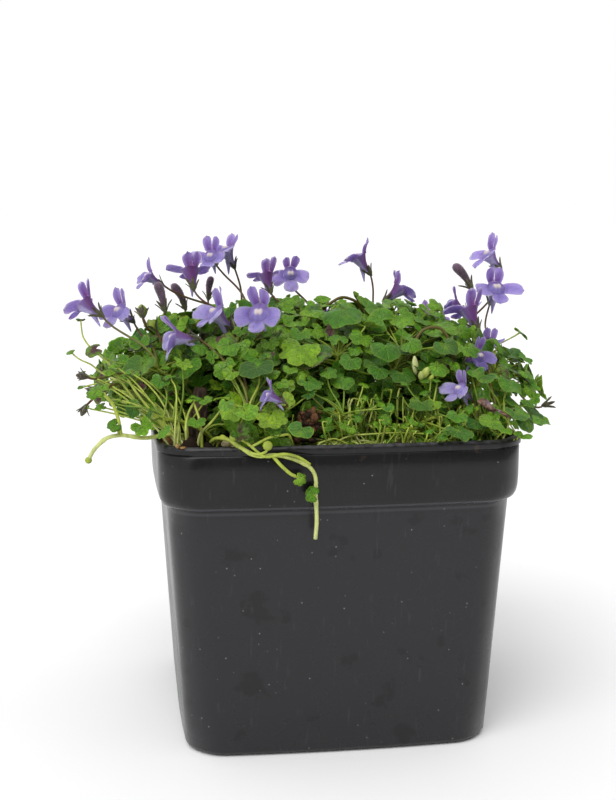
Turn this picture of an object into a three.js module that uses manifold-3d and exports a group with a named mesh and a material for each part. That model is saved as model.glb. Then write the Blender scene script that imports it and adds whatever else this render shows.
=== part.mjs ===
import * as THREE from 'three';
import Module from 'manifold-3d';

// Ivy-leaved toadflax in flower in a square nursery pot, in millimetres with +Z up.
// The origin is the middle of the pot's underside, and the viewer stands on the -Y side.

const wasm = await Module();
wasm.setup();

// Pot: a thin moulded square pot, 90 mm across its rim
const POT_HEIGHT = 80;
const RIM_HALF = 45;
const BASE_HALF = 38.6;
const COLLAR_FOOT = 64;
const NECK_HALF = 42.6;
const MOUTH_INSIDE = 43.3;
const NECK_INSIDE = 41.7;
const BASE_INSIDE = 37.6;
const CORNER_RADIUS = 9;
const WALL_BOW = 1.5;
const FLOOR_THICKNESS = 1.2;
const DRAIN_RADIUS = 3.5;
const DRAIN_OFFSET = 26;

// Soil
const SOIL_LEVEL = 77;
const SOIL_CROWN = 2;
const SOIL_GAP = 0.35;
const HOLE_DEPTH = 6.5;
const ROOT_DEPTH = 6;
const ROOT_GAP = 0.4;

// Foliage: how far it spreads from the middle and how high it rises over the rim
const SPREAD_LEFT = 68;
const SPREAD_RIGHT = 64;
const SPREAD_FRONT = 51;
const SPREAD_BACK = 58;
const CANOPY_RISE = 30;
const CANOPY_OVER_TIPS = 6;
const DIP_DEPTH = 11;
const DIP_SHRINK = 0.42;

// Leafy stems, rooted on a grid
const SEED = 4711;
const ROWS = 5;
const PITCH = 16.5;
const ROOT_JITTER = 2.4;
const STEM_RADIUS = 0.9;
const STEM_STEPS = [0, 0.3, 0.55, 0.8, 1];
const LEAN_LEFT = 1.42;
const LEAN_FRONT = 1.14;
const LEAN_OTHERWISE = 1.3;
const LEAVES_OUTER = 6;
const LEAVES_INNER = 5;
const LEAF_TURN = 137.5;
const LEAF_TRIES = 40;
const STALK_TRIES = 24;
const STALK_RISE = 3;
const SEED_STALK_RISE = -14;
const STALK_SWAY = 0.3;
const STALK_MORE_SWAY = 0.36;

// Leaves
const LEAF_THICKNESS = 0.6;
const LEAF_LEAST = 4.2;
const LEAF_MORE = 2.6;
const LEAF_STALK_LEAST = 6;
const LEAF_STALK_MORE = 9;
const STALK_RADIUS = 0.5;
const STALK_FOOT = 0.38;
const FACING_LEAST = 0.3;
const LEAF_OUTLINE = [
  [-117, 0.84], [-80, 0.75], [-53, 1], [-26, 0.82], [0, 1],
  [26, 0.82], [53, 1], [80, 0.75], [117, 0.84]
];

// Where pieces are fused, corners finer than this are dropped
const CUT_FINENESS = 0.08;

// Room kept round each thing, as balls along it
const BLADE_BALL = 0.7;
const BLADE_SPACING = 1.6;
const STALK_BALL = 0.86;
const STEM_BALL = 1.15;
const RUNNER_BALL = 1.2;
const CHIP_BALL = 2.2;
const ATTACH_FREE = 2.3;
const OPEN_REACH = 8;
const BUD_REACH = 7;
const SEED_REACH = 4;

// Owners of the balls: a stem's own number, and these plus the number of the stem or flower
const STALKS_OF = 1000;
const BLADES_OF = 2000;
const FLOWER = 3000;
const OTHER = 5000;

// Blooms: tube, two upright lobes above and three spread lobes below
const TUBE_LENGTH = 6;
const THROAT_RADIUS = 2.1;
const PETAL_THICKNESS = 0.7;
const PETALS = [
  { from: 52, to: 87, length: 5.2, width: 2.3, rise: 36 },
  { from: 93, to: 128, length: 5.2, width: 2.3, rise: 36 },
  { from: 162, to: 222, length: 5.2, width: 3.4, rise: 8 },
  { from: 236, to: 304, length: 4.4, width: 4.4, rise: 4 },
  { from: 318, to: 378, length: 5.2, width: 3.4, rise: 8 }
];
const SEPAL_ANGLES = [25, 90, 155, 222, 318];
const SEPAL_NOTCH_ANGLES = [58, 122, 188, 270, 352];
const PEDICEL_RADIUS = 0.42;

// Each bloom: where its calyx stands, the way it faces as compass turn from +X and tilt, and size
const BLOOMS = [
  { at: [-58.3, -11, 108.7], turn: 150, tilt: 30, size: 1 },
  { at: [-50.4, -3, 106.4], turn: -140, tilt: 20, size: 0.95 },
  { at: [-42.4, 7, 115.6], turn: -165, tilt: 30, size: 0.75 },
  { at: [-34.2, 1, 114.6], turn: 100, tilt: 55, size: 1 },
  { at: [-20.8, 22, 118.9], turn: -95, tilt: 65, size: 0.95 },
  { at: [-27.8, 20.5, 117.6], turn: -115, tilt: 25, size: 0.85 },
  { at: [-34.4, -23, 103.7], turn: -175, tilt: 5, size: 1 },
  { at: [-25.1, -14, 104.8], turn: -160, tilt: 35, size: 1 },
  { at: [-17, -20, 106], turn: -112, tilt: 20, size: 1.1 },
  { at: [-13.0, 5, 113.2], turn: 115, tilt: 60, size: 0.9 },
  { at: [-6.2, 23, 116], turn: -88, tilt: 12, size: 1 },
  { at: [18.9, 28, 116.8], turn: 160, tilt: 55, size: 1 },
  { at: [22.7, 26, 109.1], turn: 10, tilt: 35, size: 1 },
  { at: [58.3, 28, 118.2], turn: -165, tilt: 35, size: 1 },
  { at: [54.2, 22, 111.9], turn: -85, tilt: 25, size: 1.15 },
  { at: [42.6, -8, 103.4], turn: 118, tilt: 50, size: 1 },
  { at: [40.2, 12, 104.4], turn: 165, tilt: 30, size: 0.8 },
  { at: [35, -17.5, 94.6], turn: -72, tilt: 5, size: 0.8 },
  { at: [34, -30, 87.6], turn: -140, tilt: 15, size: 0.95 },
  { at: [48.2, -2, 94.6], turn: -80, tilt: 68, size: 0.75 },
  { at: [-36, 50, 99], turn: 110, tilt: 30, size: 1 },
  { at: [8, 54, 97], turn: 80, tilt: 25, size: 1 },
  { at: [40, 47, 98], turn: 55, tilt: 35, size: 0.95 },
  { at: [-15.4, -43.6, 90.2], turn: 176, tilt: -4, size: 0.95 }
];

// Buds: where the calyx stands and the way the bud points
const BUDS = [
  { at: [-42, -1, 109], turn: 120, tilt: 62, size: 1 },
  { at: [-36.2, 9, 108.8], turn: 140, tilt: 55, size: 0.95 },
  { at: [44.7, 10, 113.6], turn: 140, tilt: 48, size: 1.05 },
  { at: [-29.2, 20, 110.5], turn: 60, tilt: 70, size: 0.8 },
  { at: [24.4, -13, 92.2], turn: -90, tilt: 84, size: 0.7 }
];

// Seed heads: ripening capsules and dry calyces that stand open
const SEED_HEADS = [
  { at: [60.6, -9, 82.6], turn: 0, tilt: 15, size: 1, capsule: 0 },
  { at: [-60, -13, 90], turn: 190, tilt: -25, size: 1, capsule: 0 },
  { at: [-47.8, 8, 106.5], turn: 100, tilt: 60, size: 1, capsule: 1.5 },
  { at: [-44.6, -8, 104.6], turn: 200, tilt: 50, size: 1, capsule: 1.3 }
];

// Long runners that hang over the front of the rim and reach out to the left
const FRONT_RUNNER = [
  [-33, -35.5, 71], [-33, -35.5, 78.6], [-31.4, -40, 81.4], [-28.4, -44.5, 81.8], [-25, -47.6, 79.6],
  [-22, -47.9, 77.7], [-18.7, -47.9, 78.5], [-15.9, -47.9, 78.1], [-12.3, -47.7, 76.8],
  [-9.2, -47.5, 75.2], [-7.8, -47.4, 72.8], [-8.1, -47.4, 68.3], [-7.7, -47.3, 62], [-8.1, -47.3, 57.4]
];
const FRONT_SHOOT = [
  [-18.7, -47.9, 78.5], [-16.8, -48.6, 76.2], [-14.4, -48.8, 73.9], [-13, -48.9, 73.2]
];
const LEFT_RUNNER = [
  [-36.5, -28, 71], [-36.5, -28, 78.6], [-38.6, -32.5, 80.9], [-42.5, -36.5, 81.9], [-48.3, -38, 81.2],
  [-53.8, -38.5, 82.4], [-57.4, -38.5, 81.8], [-60.6, -38, 78.6], [-61.7, -37.6, 76.2]
];
const LEFT_SHOOT = [
  [-53.8, -38.5, 82.4], [-54.3, -38.6, 86], [-55.4, -38.7, 89.7], [-57.8, -38.9, 92.6]
];
const RUNNER_RADIUS = 0.55;
const SHOOT_RADIUS = 0.42;
const TIP_BUD = 0.85;

// Bark chip that stands in the soil: the middles of its foot, waist and top over the soil there
const CHIP_FOOT = [-35.2, -22, 0.35];
const CHIP_WAIST = [-34.6, -23, 8.35];
const CHIP_TOP = [-34, -24, 14.85];

// Helpers for points and seeded random numbers

const UP = new THREE.Vector3(0, 0, 1);
const point = (x, y, z) => new THREE.Vector3(x, y, z);
const sum = (...parts) => parts.reduce((total, [v, k]) => total.addScaledVector(v, k), point(0, 0, 0));
const radians = degrees => degrees * Math.PI / 180;

// A number from 0 to 1 that depends only on the seed and the whole numbers given
const draw = (...keys) => {
  let h = SEED;
  for (const key of keys) {
    h = Math.imul(h ^ (key + 0x9e3779b9), 0x85ebca6b);
    h ^= h >>> 13;
    h = Math.imul(h, 0xc2b2ae35);
    h ^= h >>> 16;
  }
  return (h >>> 0) / 2 ** 32;
};
const spread = (...keys) => 2 * draw(...keys) - 1;

// Helpers for solids

const solid = (points, faces) => new wasm.Manifold(new wasm.Mesh({
  numProp: 3,
  vertProperties: new Float32Array(points.flatMap(p => [p.x, p.y, p.z])),
  triVerts: new Uint32Array(faces.flat())
}));

// Closes rings of equal length, each seen anticlockwise from the last ring's side, into one skin
const loft = rings => {
  const n = rings[0].length;
  const faces = [];
  for (let i = 1; i < n - 1; i += 1) {
    faces.push([0, i + 1, i]);
  }
  for (let k = 0; k + 1 < rings.length; k += 1) {
    for (let i = 0; i < n; i += 1) {
      const next = (i + 1) % n;
      faces.push([k * n + i, k * n + next, (k + 1) * n + next]);
      faces.push([k * n + i, (k + 1) * n + next, (k + 1) * n + i]);
    }
  }
  const last = (rings.length - 1) * n;
  for (let i = 1; i < n - 1; i += 1) {
    faces.push([last, last + i, last + i + 1]);
  }
  return solid(rings.flat(), faces);
};

// Rings square to a bent line, one radius for each of its points, the first corner towards a side
const ringsAlong = (line, radii, sides, firstSide) => {
  let side = firstSide;
  return line.map((p, i) => {
    const before = line[Math.max(i - 1, 0)];
    const after = line[Math.min(i + 1, line.length - 1)];
    const along = after.clone().sub(before).normalize();
    side = sum([side, 1], [along, -side.dot(along)]).normalize();
    const other = along.clone().cross(side);
    return Array.from({ length: sides }, (_, j) => {
      const angle = 2 * Math.PI * j / sides;
      return sum([p, 1], [side, radii[i] * Math.cos(angle)], [other, radii[i] * Math.sin(angle)]);
    });
  });
};

// A rod with flat sides along a bent line
const rod = (line, radii, sides) => {
  const { x, y, z } = line[1].clone().sub(line[0]);
  return loft(ringsAlong(line, radii, sides, point(z, x, y).cross(point(x, y, z))));
};

// Fuses parts and drops points that lie closer to their neighbours' faces than the cut's own fineness
const join = parts => parts.reduce((whole, part) => whole.add(part)).simplify(CUT_FINENESS);

const group = new THREE.Group();

const show = (name, shape, colour, roughness) => {
  const { vertProperties, triVerts, numProp } = shape.getMesh();
  const geometry = new THREE.BufferGeometry();
  const positions = new Float32Array(vertProperties.length / numProp * 3);
  for (let i = 0; i < positions.length / 3; i += 1) {
    positions.set(vertProperties.subarray(i * numProp, i * numProp + 3), i * 3);
  }
  geometry.setAttribute('position', new THREE.BufferAttribute(positions, 3));
  geometry.setIndex(new THREE.BufferAttribute(new Uint32Array(triVerts), 1));
  geometry.computeVertexNormals();
  const material = new THREE.MeshStandardMaterial({ color: colour, roughness, metalness: 0 });
  const mesh = new THREE.Mesh(geometry, material);
  mesh.name = name;
  group.add(mesh);
};

// Pot

// A level ring round a square with rounded corners, its sides bowed a little outwards
const squareRing = (half, z) => {
  const ring = [];
  for (let quarter = 0; quarter < 4; quarter += 1) {
    const flat = [[half, 0]];
    for (let step = 0; step < 4; step += 1) {
      const angle = radians(30 * step);
      const centre = half - CORNER_RADIUS;
      flat.push([centre + CORNER_RADIUS * Math.cos(angle), centre + CORNER_RADIUS * Math.sin(angle)]);
    }
    for (const [x, y] of flat) {
      const away = Math.max(x, y);
      const along = Math.min(x, y);
      const bowed = 1 + WALL_BOW * (1 - (along / half) ** 2) * (away / half) / half;
      const turned = point(x * (x > y ? bowed : 1), y * (x > y ? 1 : bowed), z);
      ring.push(turned.applyAxisAngle(UP, radians(90 * quarter)));
    }
  }
  return ring;
};

const makePot = () => {
  const outside = [
    [0, BASE_HALF], [COLLAR_FOOT, NECK_HALF], [COLLAR_FOOT + 0.5, NECK_HALF + 1],
    [COLLAR_FOOT + 2, 44.3], [COLLAR_FOOT + 5.5, 44.65], [POT_HEIGHT - 2.2, 44.7],
    [POT_HEIGHT - 1.8, RIM_HALF], [POT_HEIGHT - 0.5, RIM_HALF - 0.2], [POT_HEIGHT, RIM_HALF - 0.8]
  ];
  const inside = [[POT_HEIGHT, MOUTH_INSIDE], [COLLAR_FOOT, NECK_INSIDE], [FLOOR_THICKNESS, BASE_INSIDE]];
  const shell = loft([...outside, ...inside].map(([z, half]) => squareRing(half, z)));
  const drains = [];
  for (const x of [-DRAIN_OFFSET, DRAIN_OFFSET]) {
    for (const y of [-DRAIN_OFFSET, DRAIN_OFFSET]) {
      drains.push(rod([point(x, y, -1), point(x, y, 3)], [DRAIN_RADIUS, DRAIN_RADIUS], 8));
    }
  }
  return shell.subtract(join(drains));
};

// Soil

// The soil's top: a low dome with crumbly hills
const soilHeight = (x, y) => {
  const dome = SOIL_CROWN * (1 - (x * x + y * y) / (2 * RIM_HALF * RIM_HALF));
  const hills = 0.35 * Math.sin(0.41 * x + 1.3) * Math.cos(0.37 * y) + 0.25 * Math.sin(0.63 * y + 0.3 * x);
  return SOIL_LEVEL - SOIL_CROWN + dome + hills;
};

const makeSoil = roots => {
  const insideHalf = z => (z >= COLLAR_FOOT
    ? NECK_INSIDE + (MOUTH_INSIDE - NECK_INSIDE) * (z - COLLAR_FOOT) / (POT_HEIGHT - COLLAR_FOOT)
    : BASE_INSIDE + (NECK_INSIDE - BASE_INSIDE) * (z - FLOOR_THICKNESS) / (COLLAR_FOOT - FLOOR_THICKNESS));
  const levels = [FLOOR_THICKNESS + SOIL_GAP, COLLAR_FOOT, SOIL_LEVEL - 2.5];
  const rings = levels.map(z => squareRing(insideHalf(z) - SOIL_GAP, z));
  const top = squareRing(insideHalf(SOIL_LEVEL) - SOIL_GAP, SOIL_LEVEL);
  for (const share of [1, 0.75, 0.4]) {
    rings.push(top.map(p => {
      const x = p.x * share;
      const y = p.y * share;
      return point(x, y, soilHeight(x, y));
    }));
  }
  const holes = roots.map(({ x, y, radius }) => {
    const surface = soilHeight(x, y);
    const wide = radius + ROOT_GAP;
    return rod([point(x, y, surface - HOLE_DEPTH), point(x, y, surface + 3)], [wide, wide], 4);
  });
  return loft(rings).subtract(join(holes));
};

// Growth plan: where every stem, bloom and leaf goes

// How far into the hollow at the front of the foliage a place is, from 0 to 1
const frontDip = (x, y) => {
  const across = (x - 14) / 24;
  const along = (y + 40) / 19;
  return Math.exp(-across * across - along * along);
};

// The height of the leaves' common surface over a place
const canopyHeight = (x, y) => {
  const across = x / (x < 0 ? SPREAD_LEFT : SPREAD_RIGHT);
  const along = y / (y < 0 ? SPREAD_FRONT : SPREAD_BACK);
  const fall = across * across * across * across + along * along;
  return POT_HEIGHT + CANOPY_RISE * (1 - Math.min(fall, 1.4)) - DIP_DEPTH * frontDip(x, y);
};

const balls = [];
const addBalls = (points, radius, owner) => points.forEach(p => balls.push({ p, radius, owner }));

const near = (centre, reach) => balls.filter(({ p }) => p.distanceToSquared(centre) < reach * reach);

const touches = (points, radius, others, mayTouch) => points.some(p => others.some(ball =>
  !mayTouch(ball) && p.distanceToSquared(ball.p) < (radius + ball.radius) ** 2));

// Whether a ball would reach into the pot's wall or the soil
const meetsPot = (p, radius) => {
  const aside = Math.max(Math.abs(p.x), Math.abs(p.y));
  if (aside > RIM_HALF + WALL_BOW + radius || p.z > POT_HEIGHT + radius) {
    return false;
  }
  return aside > RIM_HALF - 2.5 - radius || p.z < soilHeight(p.x, p.y) + radius;
};

// Evenly spaced points along a bent line
const alongLine = (line, spacing) => {
  const points = [];
  for (let i = 0; i + 1 < line.length; i += 1) {
    const count = Math.max(1, Math.round(line[i].distanceTo(line[i + 1]) / spacing));
    for (let k = 0; k < count; k += 1) {
      points.push(line[i].clone().lerp(line[i + 1], k / count));
    }
  }
  points.push(line[line.length - 1].clone());
  return points;
};

const planStems = () => {
  const stems = [];
  for (let row = 0; row < ROWS; row += 1) {
    for (let column = 0; column < ROWS; column += 1) {
      const key = row * ROWS + column;
      const x = (column - (ROWS - 1) / 2) * PITCH + ROOT_JITTER * spread(key, 1);
      const y = (row - (ROWS - 1) / 2) * PITCH + ROOT_JITTER * spread(key, 2);
      const soil = soilHeight(x, y);
      const tipX = x * (x < 0 ? LEAN_LEFT : LEAN_OTHERWISE);
      const tipY = y * (y < 0 ? LEAN_FRONT : LEAN_OTHERWISE);
      const top = canopyHeight(tipX, tipY) - CANOPY_OVER_TIPS;
      const rise = Math.max(8, top - soil) + 1.5 * spread(key, 3);
      const foot = point(x, y, soil - ROOT_DEPTH);
      const collar = point(x, y, soil + 0.5);
      const tip = point(tipX, tipY, soil + rise);
      const bend = new THREE.CubicBezierCurve3(
        collar,
        point(x, y, soil + 0.55 * rise),
        point(x + 0.5 * (tip.x - x), y + 0.5 * (tip.y - y), soil + 0.9 * rise),
        tip
      );
      const line = STEM_STEPS.map(t => bend.getPoint(t));
      addBalls(alongLine(line, 1), STEM_BALL, key);
      const inner = row > 0 && row < ROWS - 1 && column > 0 && column < ROWS - 1;
      const leafCount = inner ? LEAVES_INNER : LEAVES_OUTER;
      stems.push({ key, foot, line, leafCount, leaves: [], stalks: [], x, y });
    }
  }
  return stems;
};

// The point at a share of the way up a stem
const onStem = (stem, t) => {
  const place = t * (stem.line.length - 1);
  const step = Math.min(Math.floor(place), stem.line.length - 2);
  return stem.line[step].clone().lerp(stem.line[step + 1], place - step);
};

// The flower's own axes: across to its right as it is looked at, its upper side, and the way it faces
const flowerAxes = ({ turn, tilt }) => {
  const level = Math.cos(radians(tilt));
  const facing = point(level * Math.cos(radians(turn)), level * Math.sin(radians(turn)), 0);
  facing.z = Math.sin(radians(tilt));
  const across = UP.clone().cross(facing).normalize();
  return { across, upper: facing.clone().cross(across), facing };
};

// Places a point given as across, upper and forward distances in a flower
const inFlower = (flower, x, y, z) => {
  const { across, upper, facing } = flowerAxes(flower);
  const at = point(...flower.at);
  return sum([at, 1], [across, x * flower.size], [upper, y * flower.size], [facing, z * flower.size]);
};

// Balls along the flower's tube and, where it is open, on its lobes
const keepRoomForFlower = (flower, owner) => {
  for (const [z, radius] of [[0.3, 1.4], [1.8, 1.7], [3.5, 1.7], [5, 1.8], [6.4, 1.5]]) {
    if (z < flower.reach) {
      addBalls([inFlower(flower, 0, 0, z)], radius * flower.size, owner);
    }
  }
  if (flower.reach < OPEN_REACH) {
    return;
  }
  for (const { from, to, length } of PETALS) {
    const angle = radians((from + to) / 2);
    for (const share of [0.3, 0.8]) {
      const away = THROAT_RADIUS + share * length;
      const p = inFlower(flower, away * Math.cos(angle), away * Math.sin(angle), TUBE_LENGTH + 1);
      addBalls([p], 1.9 * flower.size, owner);
    }
  }
};

// The flower stalk's bent line from a stem up to a calyx, with a slight sway of its own
const stalkLine = (start, flower, sway) => {
  const end = inFlower(flower, 0, 0, 0);
  const reach = start.distanceTo(end);
  const { facing } = flowerAxes(flower);
  const bend = new THREE.CubicBezierCurve3(
    start,
    sum([start, 1], [UP, 0.35 * reach], [sway, 0.5 * reach]),
    sum([end, 1], [facing, -0.25 * reach], [UP, -0.15 * reach], [sway, 0.25 * reach]),
    end
  );
  return [0, 0.35, 0.7, 1].map(t => bend.getPoint(t));
};

// Each stalk starts on the stem from which it is shortest and touches nothing on its way.
// A ripening seed head may hang below its stalk's start.
const planStalk = (stems, flower, owner) => {
  const rise = flower.reach === SEED_REACH ? SEED_STALK_RISE : STALK_RISE;
  let best = null;
  for (const stem of stems) {
    for (let attempt = 0; attempt < STALK_TRIES; attempt += 1) {
      const t = 0.3 + 0.67 * draw(owner, stem.key, attempt, 1);
      const start = onStem(stem, t);
      if (flower.at[2] - start.z < rise) {
        continue;
      }
      const sway = point(spread(owner, stem.key, attempt, 2), spread(owner, stem.key, attempt, 3), 0)
        .multiplyScalar(STALK_SWAY + STALK_MORE_SWAY * attempt / STALK_TRIES);
      const line = stalkLine(start, flower, sway);
      const path = alongLine(line, 1.2);
      const tested = path.filter(p => p.distanceTo(start) > ATTACH_FREE);
      const cost = start.distanceTo(line[3]) + 5 * stem.stalks.length;
      if (best !== null && cost >= best.cost) {
        continue;
      }
      const mayTouch = ball => ball.owner === owner;
      if (tested.some(p => meetsPot(p, STALK_BALL)) || touches(tested, STALK_BALL, balls, mayTouch)) {
        continue;
      }
      best = { stem, line, path, cost };
    }
  }
  if (best === null) {
    throw new Error(`no clear way for the stalk to ${flower.at}`);
  }
  addBalls(best.path, STALK_BALL, STALKS_OF + best.stem.key);
  best.stem.stalks.push({ line: best.line, flower });
};

// A blade as evenly spaced points over its kidney-shaped face
const bladePoints = ({ base, along, across, normal, size, cup }) => {
  const points = [];
  const rows = Math.round(size / BLADE_SPACING);
  for (let ring = 0; ring <= rows; ring += 1) {
    const share = ring / rows;
    const count = ring === 0 ? 1 : Math.round(radians(250) * share * size * 0.9 / BLADE_SPACING) + 1;
    for (let i = 0; i < count; i += 1) {
      const angle = count === 1 ? 0 : radians(-117 + 234 * i / (count - 1));
      const away = 0.95 * share * size;
      points.push(sum([base, 1], [along, away * Math.cos(angle)], [across, away * Math.sin(angle)],
        [normal, size * cup * share * share - LEAF_THICKNESS / 2]));
    }
  }
  return points;
};

// One possible leaf on a stem: a stalk up and aside, and a blade that faces up and outwards
const possibleLeaf = (stem, index, attempt) => {
  const key = [stem.key, index, attempt];
  const from = 0.4 - 0.28 * Math.min(1, (stem.x * stem.x + stem.y * stem.y) / 1400);
  const t = from + (0.97 - from) * (index + draw(...key, 1)) / stem.leafCount;
  const start = onStem(stem, t);
  const turn = radians(LEAF_TURN * index + 360 * draw(stem.key, 9) + 70 * spread(...key, 2));
  const aside = point(Math.cos(turn), Math.sin(turn), 0);
  const outward = point(start.x / 55, start.y / 50, 0);
  const lift = 0.3 + 0.7 * draw(...key, 3) - 0.4 * outward.length() * draw(...key, 11);
  const rising = sum([UP, lift], [outward, 0.55], [aside, 0.9]).normalize();
  const base = sum([start, 1], [rising, LEAF_STALK_LEAST + LEAF_STALK_MORE * draw(...key, 4)]);
  const loose = point(spread(...key, 5), spread(...key, 6), 0.5 * spread(...key, 7));
  const outwardHere = point(base.x / 58, base.y / 52, 0);
  const normal = sum([UP, 0.85], [outwardHere, 0.6 * outwardHere.length()], [loose, 0.38]).normalize();
  const heading = sum([aside, 0.7], [outward, 0.5], [loose, 0.4]);
  const along = heading.addScaledVector(normal, -heading.dot(normal)).normalize();
  const across = normal.clone().cross(along);
  const share = draw(...key, 8);
  const size = (LEAF_LEAST + LEAF_MORE * share * share) * (1 - DIP_SHRINK * frontDip(base.x, base.y));
  const cup = -0.26 + 0.3 * draw(...key, 10);
  return { start, base, rising, along, across, normal, size, cup };
};

// Leaf by leaf, each stem takes the try that stands clearest of the others near the common surface.
// A leaf that finds no clear place is left out.
const planLeaves = stems => {
  const middles = [];
  for (let index = 0; index < LEAVES_OUTER; index += 1) {
    for (const stem of stems.filter(({ leafCount }) => index < leafCount)) {
      let best = null;
      for (let attempt = 0; attempt < LEAF_TRIES; attempt += 1) {
        const leaf = possibleLeaf(stem, index, attempt);
        const { start, base, along, size } = leaf;
        const middle = sum([base, 1], [along, 0.3 * size]);
        const depth = canopyHeight(middle.x, middle.y) - middle.z;
        const crowd = middles.reduce((least, other) => Math.min(least, other.distanceTo(middle)), 12);
        const sunk = draw(stem.key, index, 12) < 0.65 ? 1 : 7;
        const score = crowd - 0.45 * Math.abs(depth - sunk) - (depth < -2 ? 4 : 0);
        if (leaf.rising.dot(leaf.normal) < FACING_LEAST || (best !== null && score <= best.score)) {
          continue;
        }
        const blade = bladePoints(leaf);
        const stalk = alongLine([start, base], 1).filter(p => p.distanceTo(start) > ATTACH_FREE);
        if (blade.some(p => meetsPot(p, BLADE_BALL)) || stalk.some(p => meetsPot(p, STALK_BALL))) {
          continue;
        }
        const others = near(base, 24);
        const ownStalk = ball => ball.owner === stem.key || ball.owner === STALKS_OF + stem.key;
        if (touches(stalk, STALK_BALL, others, ownStalk) || touches(blade, BLADE_BALL, others, () => false)) {
          continue;
        }
        best = { leaf, blade, stalk, middle, score };
      }
      if (best !== null) {
        stem.leaves.push(best.leaf);
        middles.push(best.middle);
        addBalls(best.blade, BLADE_BALL, BLADES_OF + stem.key);
        addBalls(best.stalk, STALK_BALL, STALKS_OF + stem.key);
      }
    }
  }
};

// Leaves

// A lobed blade with its stalk: a fan from the notch above, the same below with the stalk let in
const makeLeaf = ({ start, base, along, across, normal, size, cup }) => {
  const onBlade = (x, y, lift) => sum([base, 1], [along, x], [across, y], [normal, lift]);
  const faces = [];
  const points = [onBlade(0, 0, 0)];
  const rimCount = LEAF_OUTLINE.length;
  for (const under of [0, LEAF_THICKNESS]) {
    for (const [angle, share] of LEAF_OUTLINE) {
      const away = size * share;
      const lift = size * cup * share * share - under;
      points.push(onBlade(away * Math.cos(radians(angle)), away * Math.sin(radians(angle)), lift));
    }
  }
  const upper = 1;
  const lower = upper + rimCount;
  const right = lower + rimCount;
  const front = right + 1;
  const left = front + 1;
  const mouth = [
    onBlade(0, -STALK_RADIUS, -LEAF_THICKNESS),
    onBlade(2 * STALK_RADIUS, 0, -LEAF_THICKNESS),
    onBlade(0, STALK_RADIUS, -LEAF_THICKNESS)
  ];
  points.push(...mouth);
  const wall = (a, b, topB, topA) => faces.push([a, b, topB], [a, topB, topA]);
  for (let i = 0; i + 1 < rimCount; i += 1) {
    faces.push([0, upper + i, upper + i + 1]);
    wall(lower + i, lower + i + 1, upper + i + 1, upper + i);
    const hub = i < 2 ? right : (i < rimCount - 3 ? front : left);
    faces.push([hub, lower + i + 1, lower + i]);
  }
  wall(right, lower, upper, 0);
  wall(lower + rimCount - 1, left, 0, upper + rimCount - 1);
  faces.push([left, right, 0], [right, front, lower + 2], [front, left, lower + rimCount - 3]);
  const middle = sum([mouth[0], 1 / 3], [mouth[1], 1 / 3], [mouth[2], 1 / 3]);
  const down = start.clone().sub(middle).normalize();
  const foot = left + 1;
  for (const corner of [mouth[2], mouth[1], mouth[0]]) {
    const offset = corner.clone().sub(middle);
    offset.addScaledVector(down, -offset.dot(down)).setLength(STALK_FOOT);
    points.push(offset.add(start));
  }
  wall(left, front, foot + 1, foot);
  wall(front, right, foot + 2, foot + 1);
  wall(right, left, foot, foot + 2);
  faces.push([foot, foot + 1, foot + 2]);
  return solid(points, faces);
};

// Flowers

// A flower stalk from its stem, opening at its end into the calyx: a cup with five pointed sepals
const makeStalkAndCalyx = ({ line, flower }) => {
  const path = [inFlower(flower, 0, 0, -0.8), ...line.slice(0, -1).reverse()];
  const rings = ringsAlong(path, path.map(() => PEDICEL_RADIUS), 3, flowerAxes(flower).across);
  const star = SEPAL_ANGLES.flatMap((angle, i) => [[angle, 2.1, 3], [SEPAL_NOTCH_ANGLES[i], 1.15, 0.9]]);
  const floor = SEPAL_ANGLES.map(angle => [angle, 0.6, 0.5]);
  const cup = [...star, ...floor].map(([angle, away, z]) => inFlower(flower,
    away * Math.cos(radians(angle)), away * Math.sin(radians(angle)), z));
  const starStart = 3 * rings.length;
  const floorStart = starStart + star.length;
  const faces = [];
  for (let k = 0; k + 1 < rings.length; k += 1) {
    for (let i = 0; i < 3; i += 1) {
      const next = (i + 1) % 3;
      faces.push([3 * k + i, 3 * k + next, 3 * k + 3 + next], [3 * k + i, 3 * k + 3 + next, 3 * k + 3 + i]);
    }
  }
  faces.push([starStart - 3, starStart - 2, starStart - 1]);
  // The stalk's three corners are seen from the front at 0, 240 and 120 degrees
  const cornerOf = [0, 2, 2, 2, 2, 1, 1, 1, 0, 0];
  for (let i = 0; i < 10; i += 1) {
    faces.push([cornerOf[i], starStart + (i + 1) % 10, starStart + i]);
  }
  faces.push([0, 2, starStart + 1], [2, 1, starStart + 5], [1, 0, starStart + 8]);
  for (let i = 0; i < 5; i += 1) {
    const next = (i + 1) % 5;
    const [tip, notch, tipNext] = [starStart + 2 * i, starStart + 2 * i + 1, starStart + 2 * next];
    faces.push([floorStart + i, tip, notch], [floorStart + i, notch, floorStart + next]);
    faces.push([floorStart + next, notch, tipNext]);
  }
  for (let i = 1; i < 4; i += 1) {
    faces.push([floorStart, floorStart + i, floorStart + i + 1]);
  }
  return solid([...rings.flat(), ...cup], faces);
};

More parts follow.
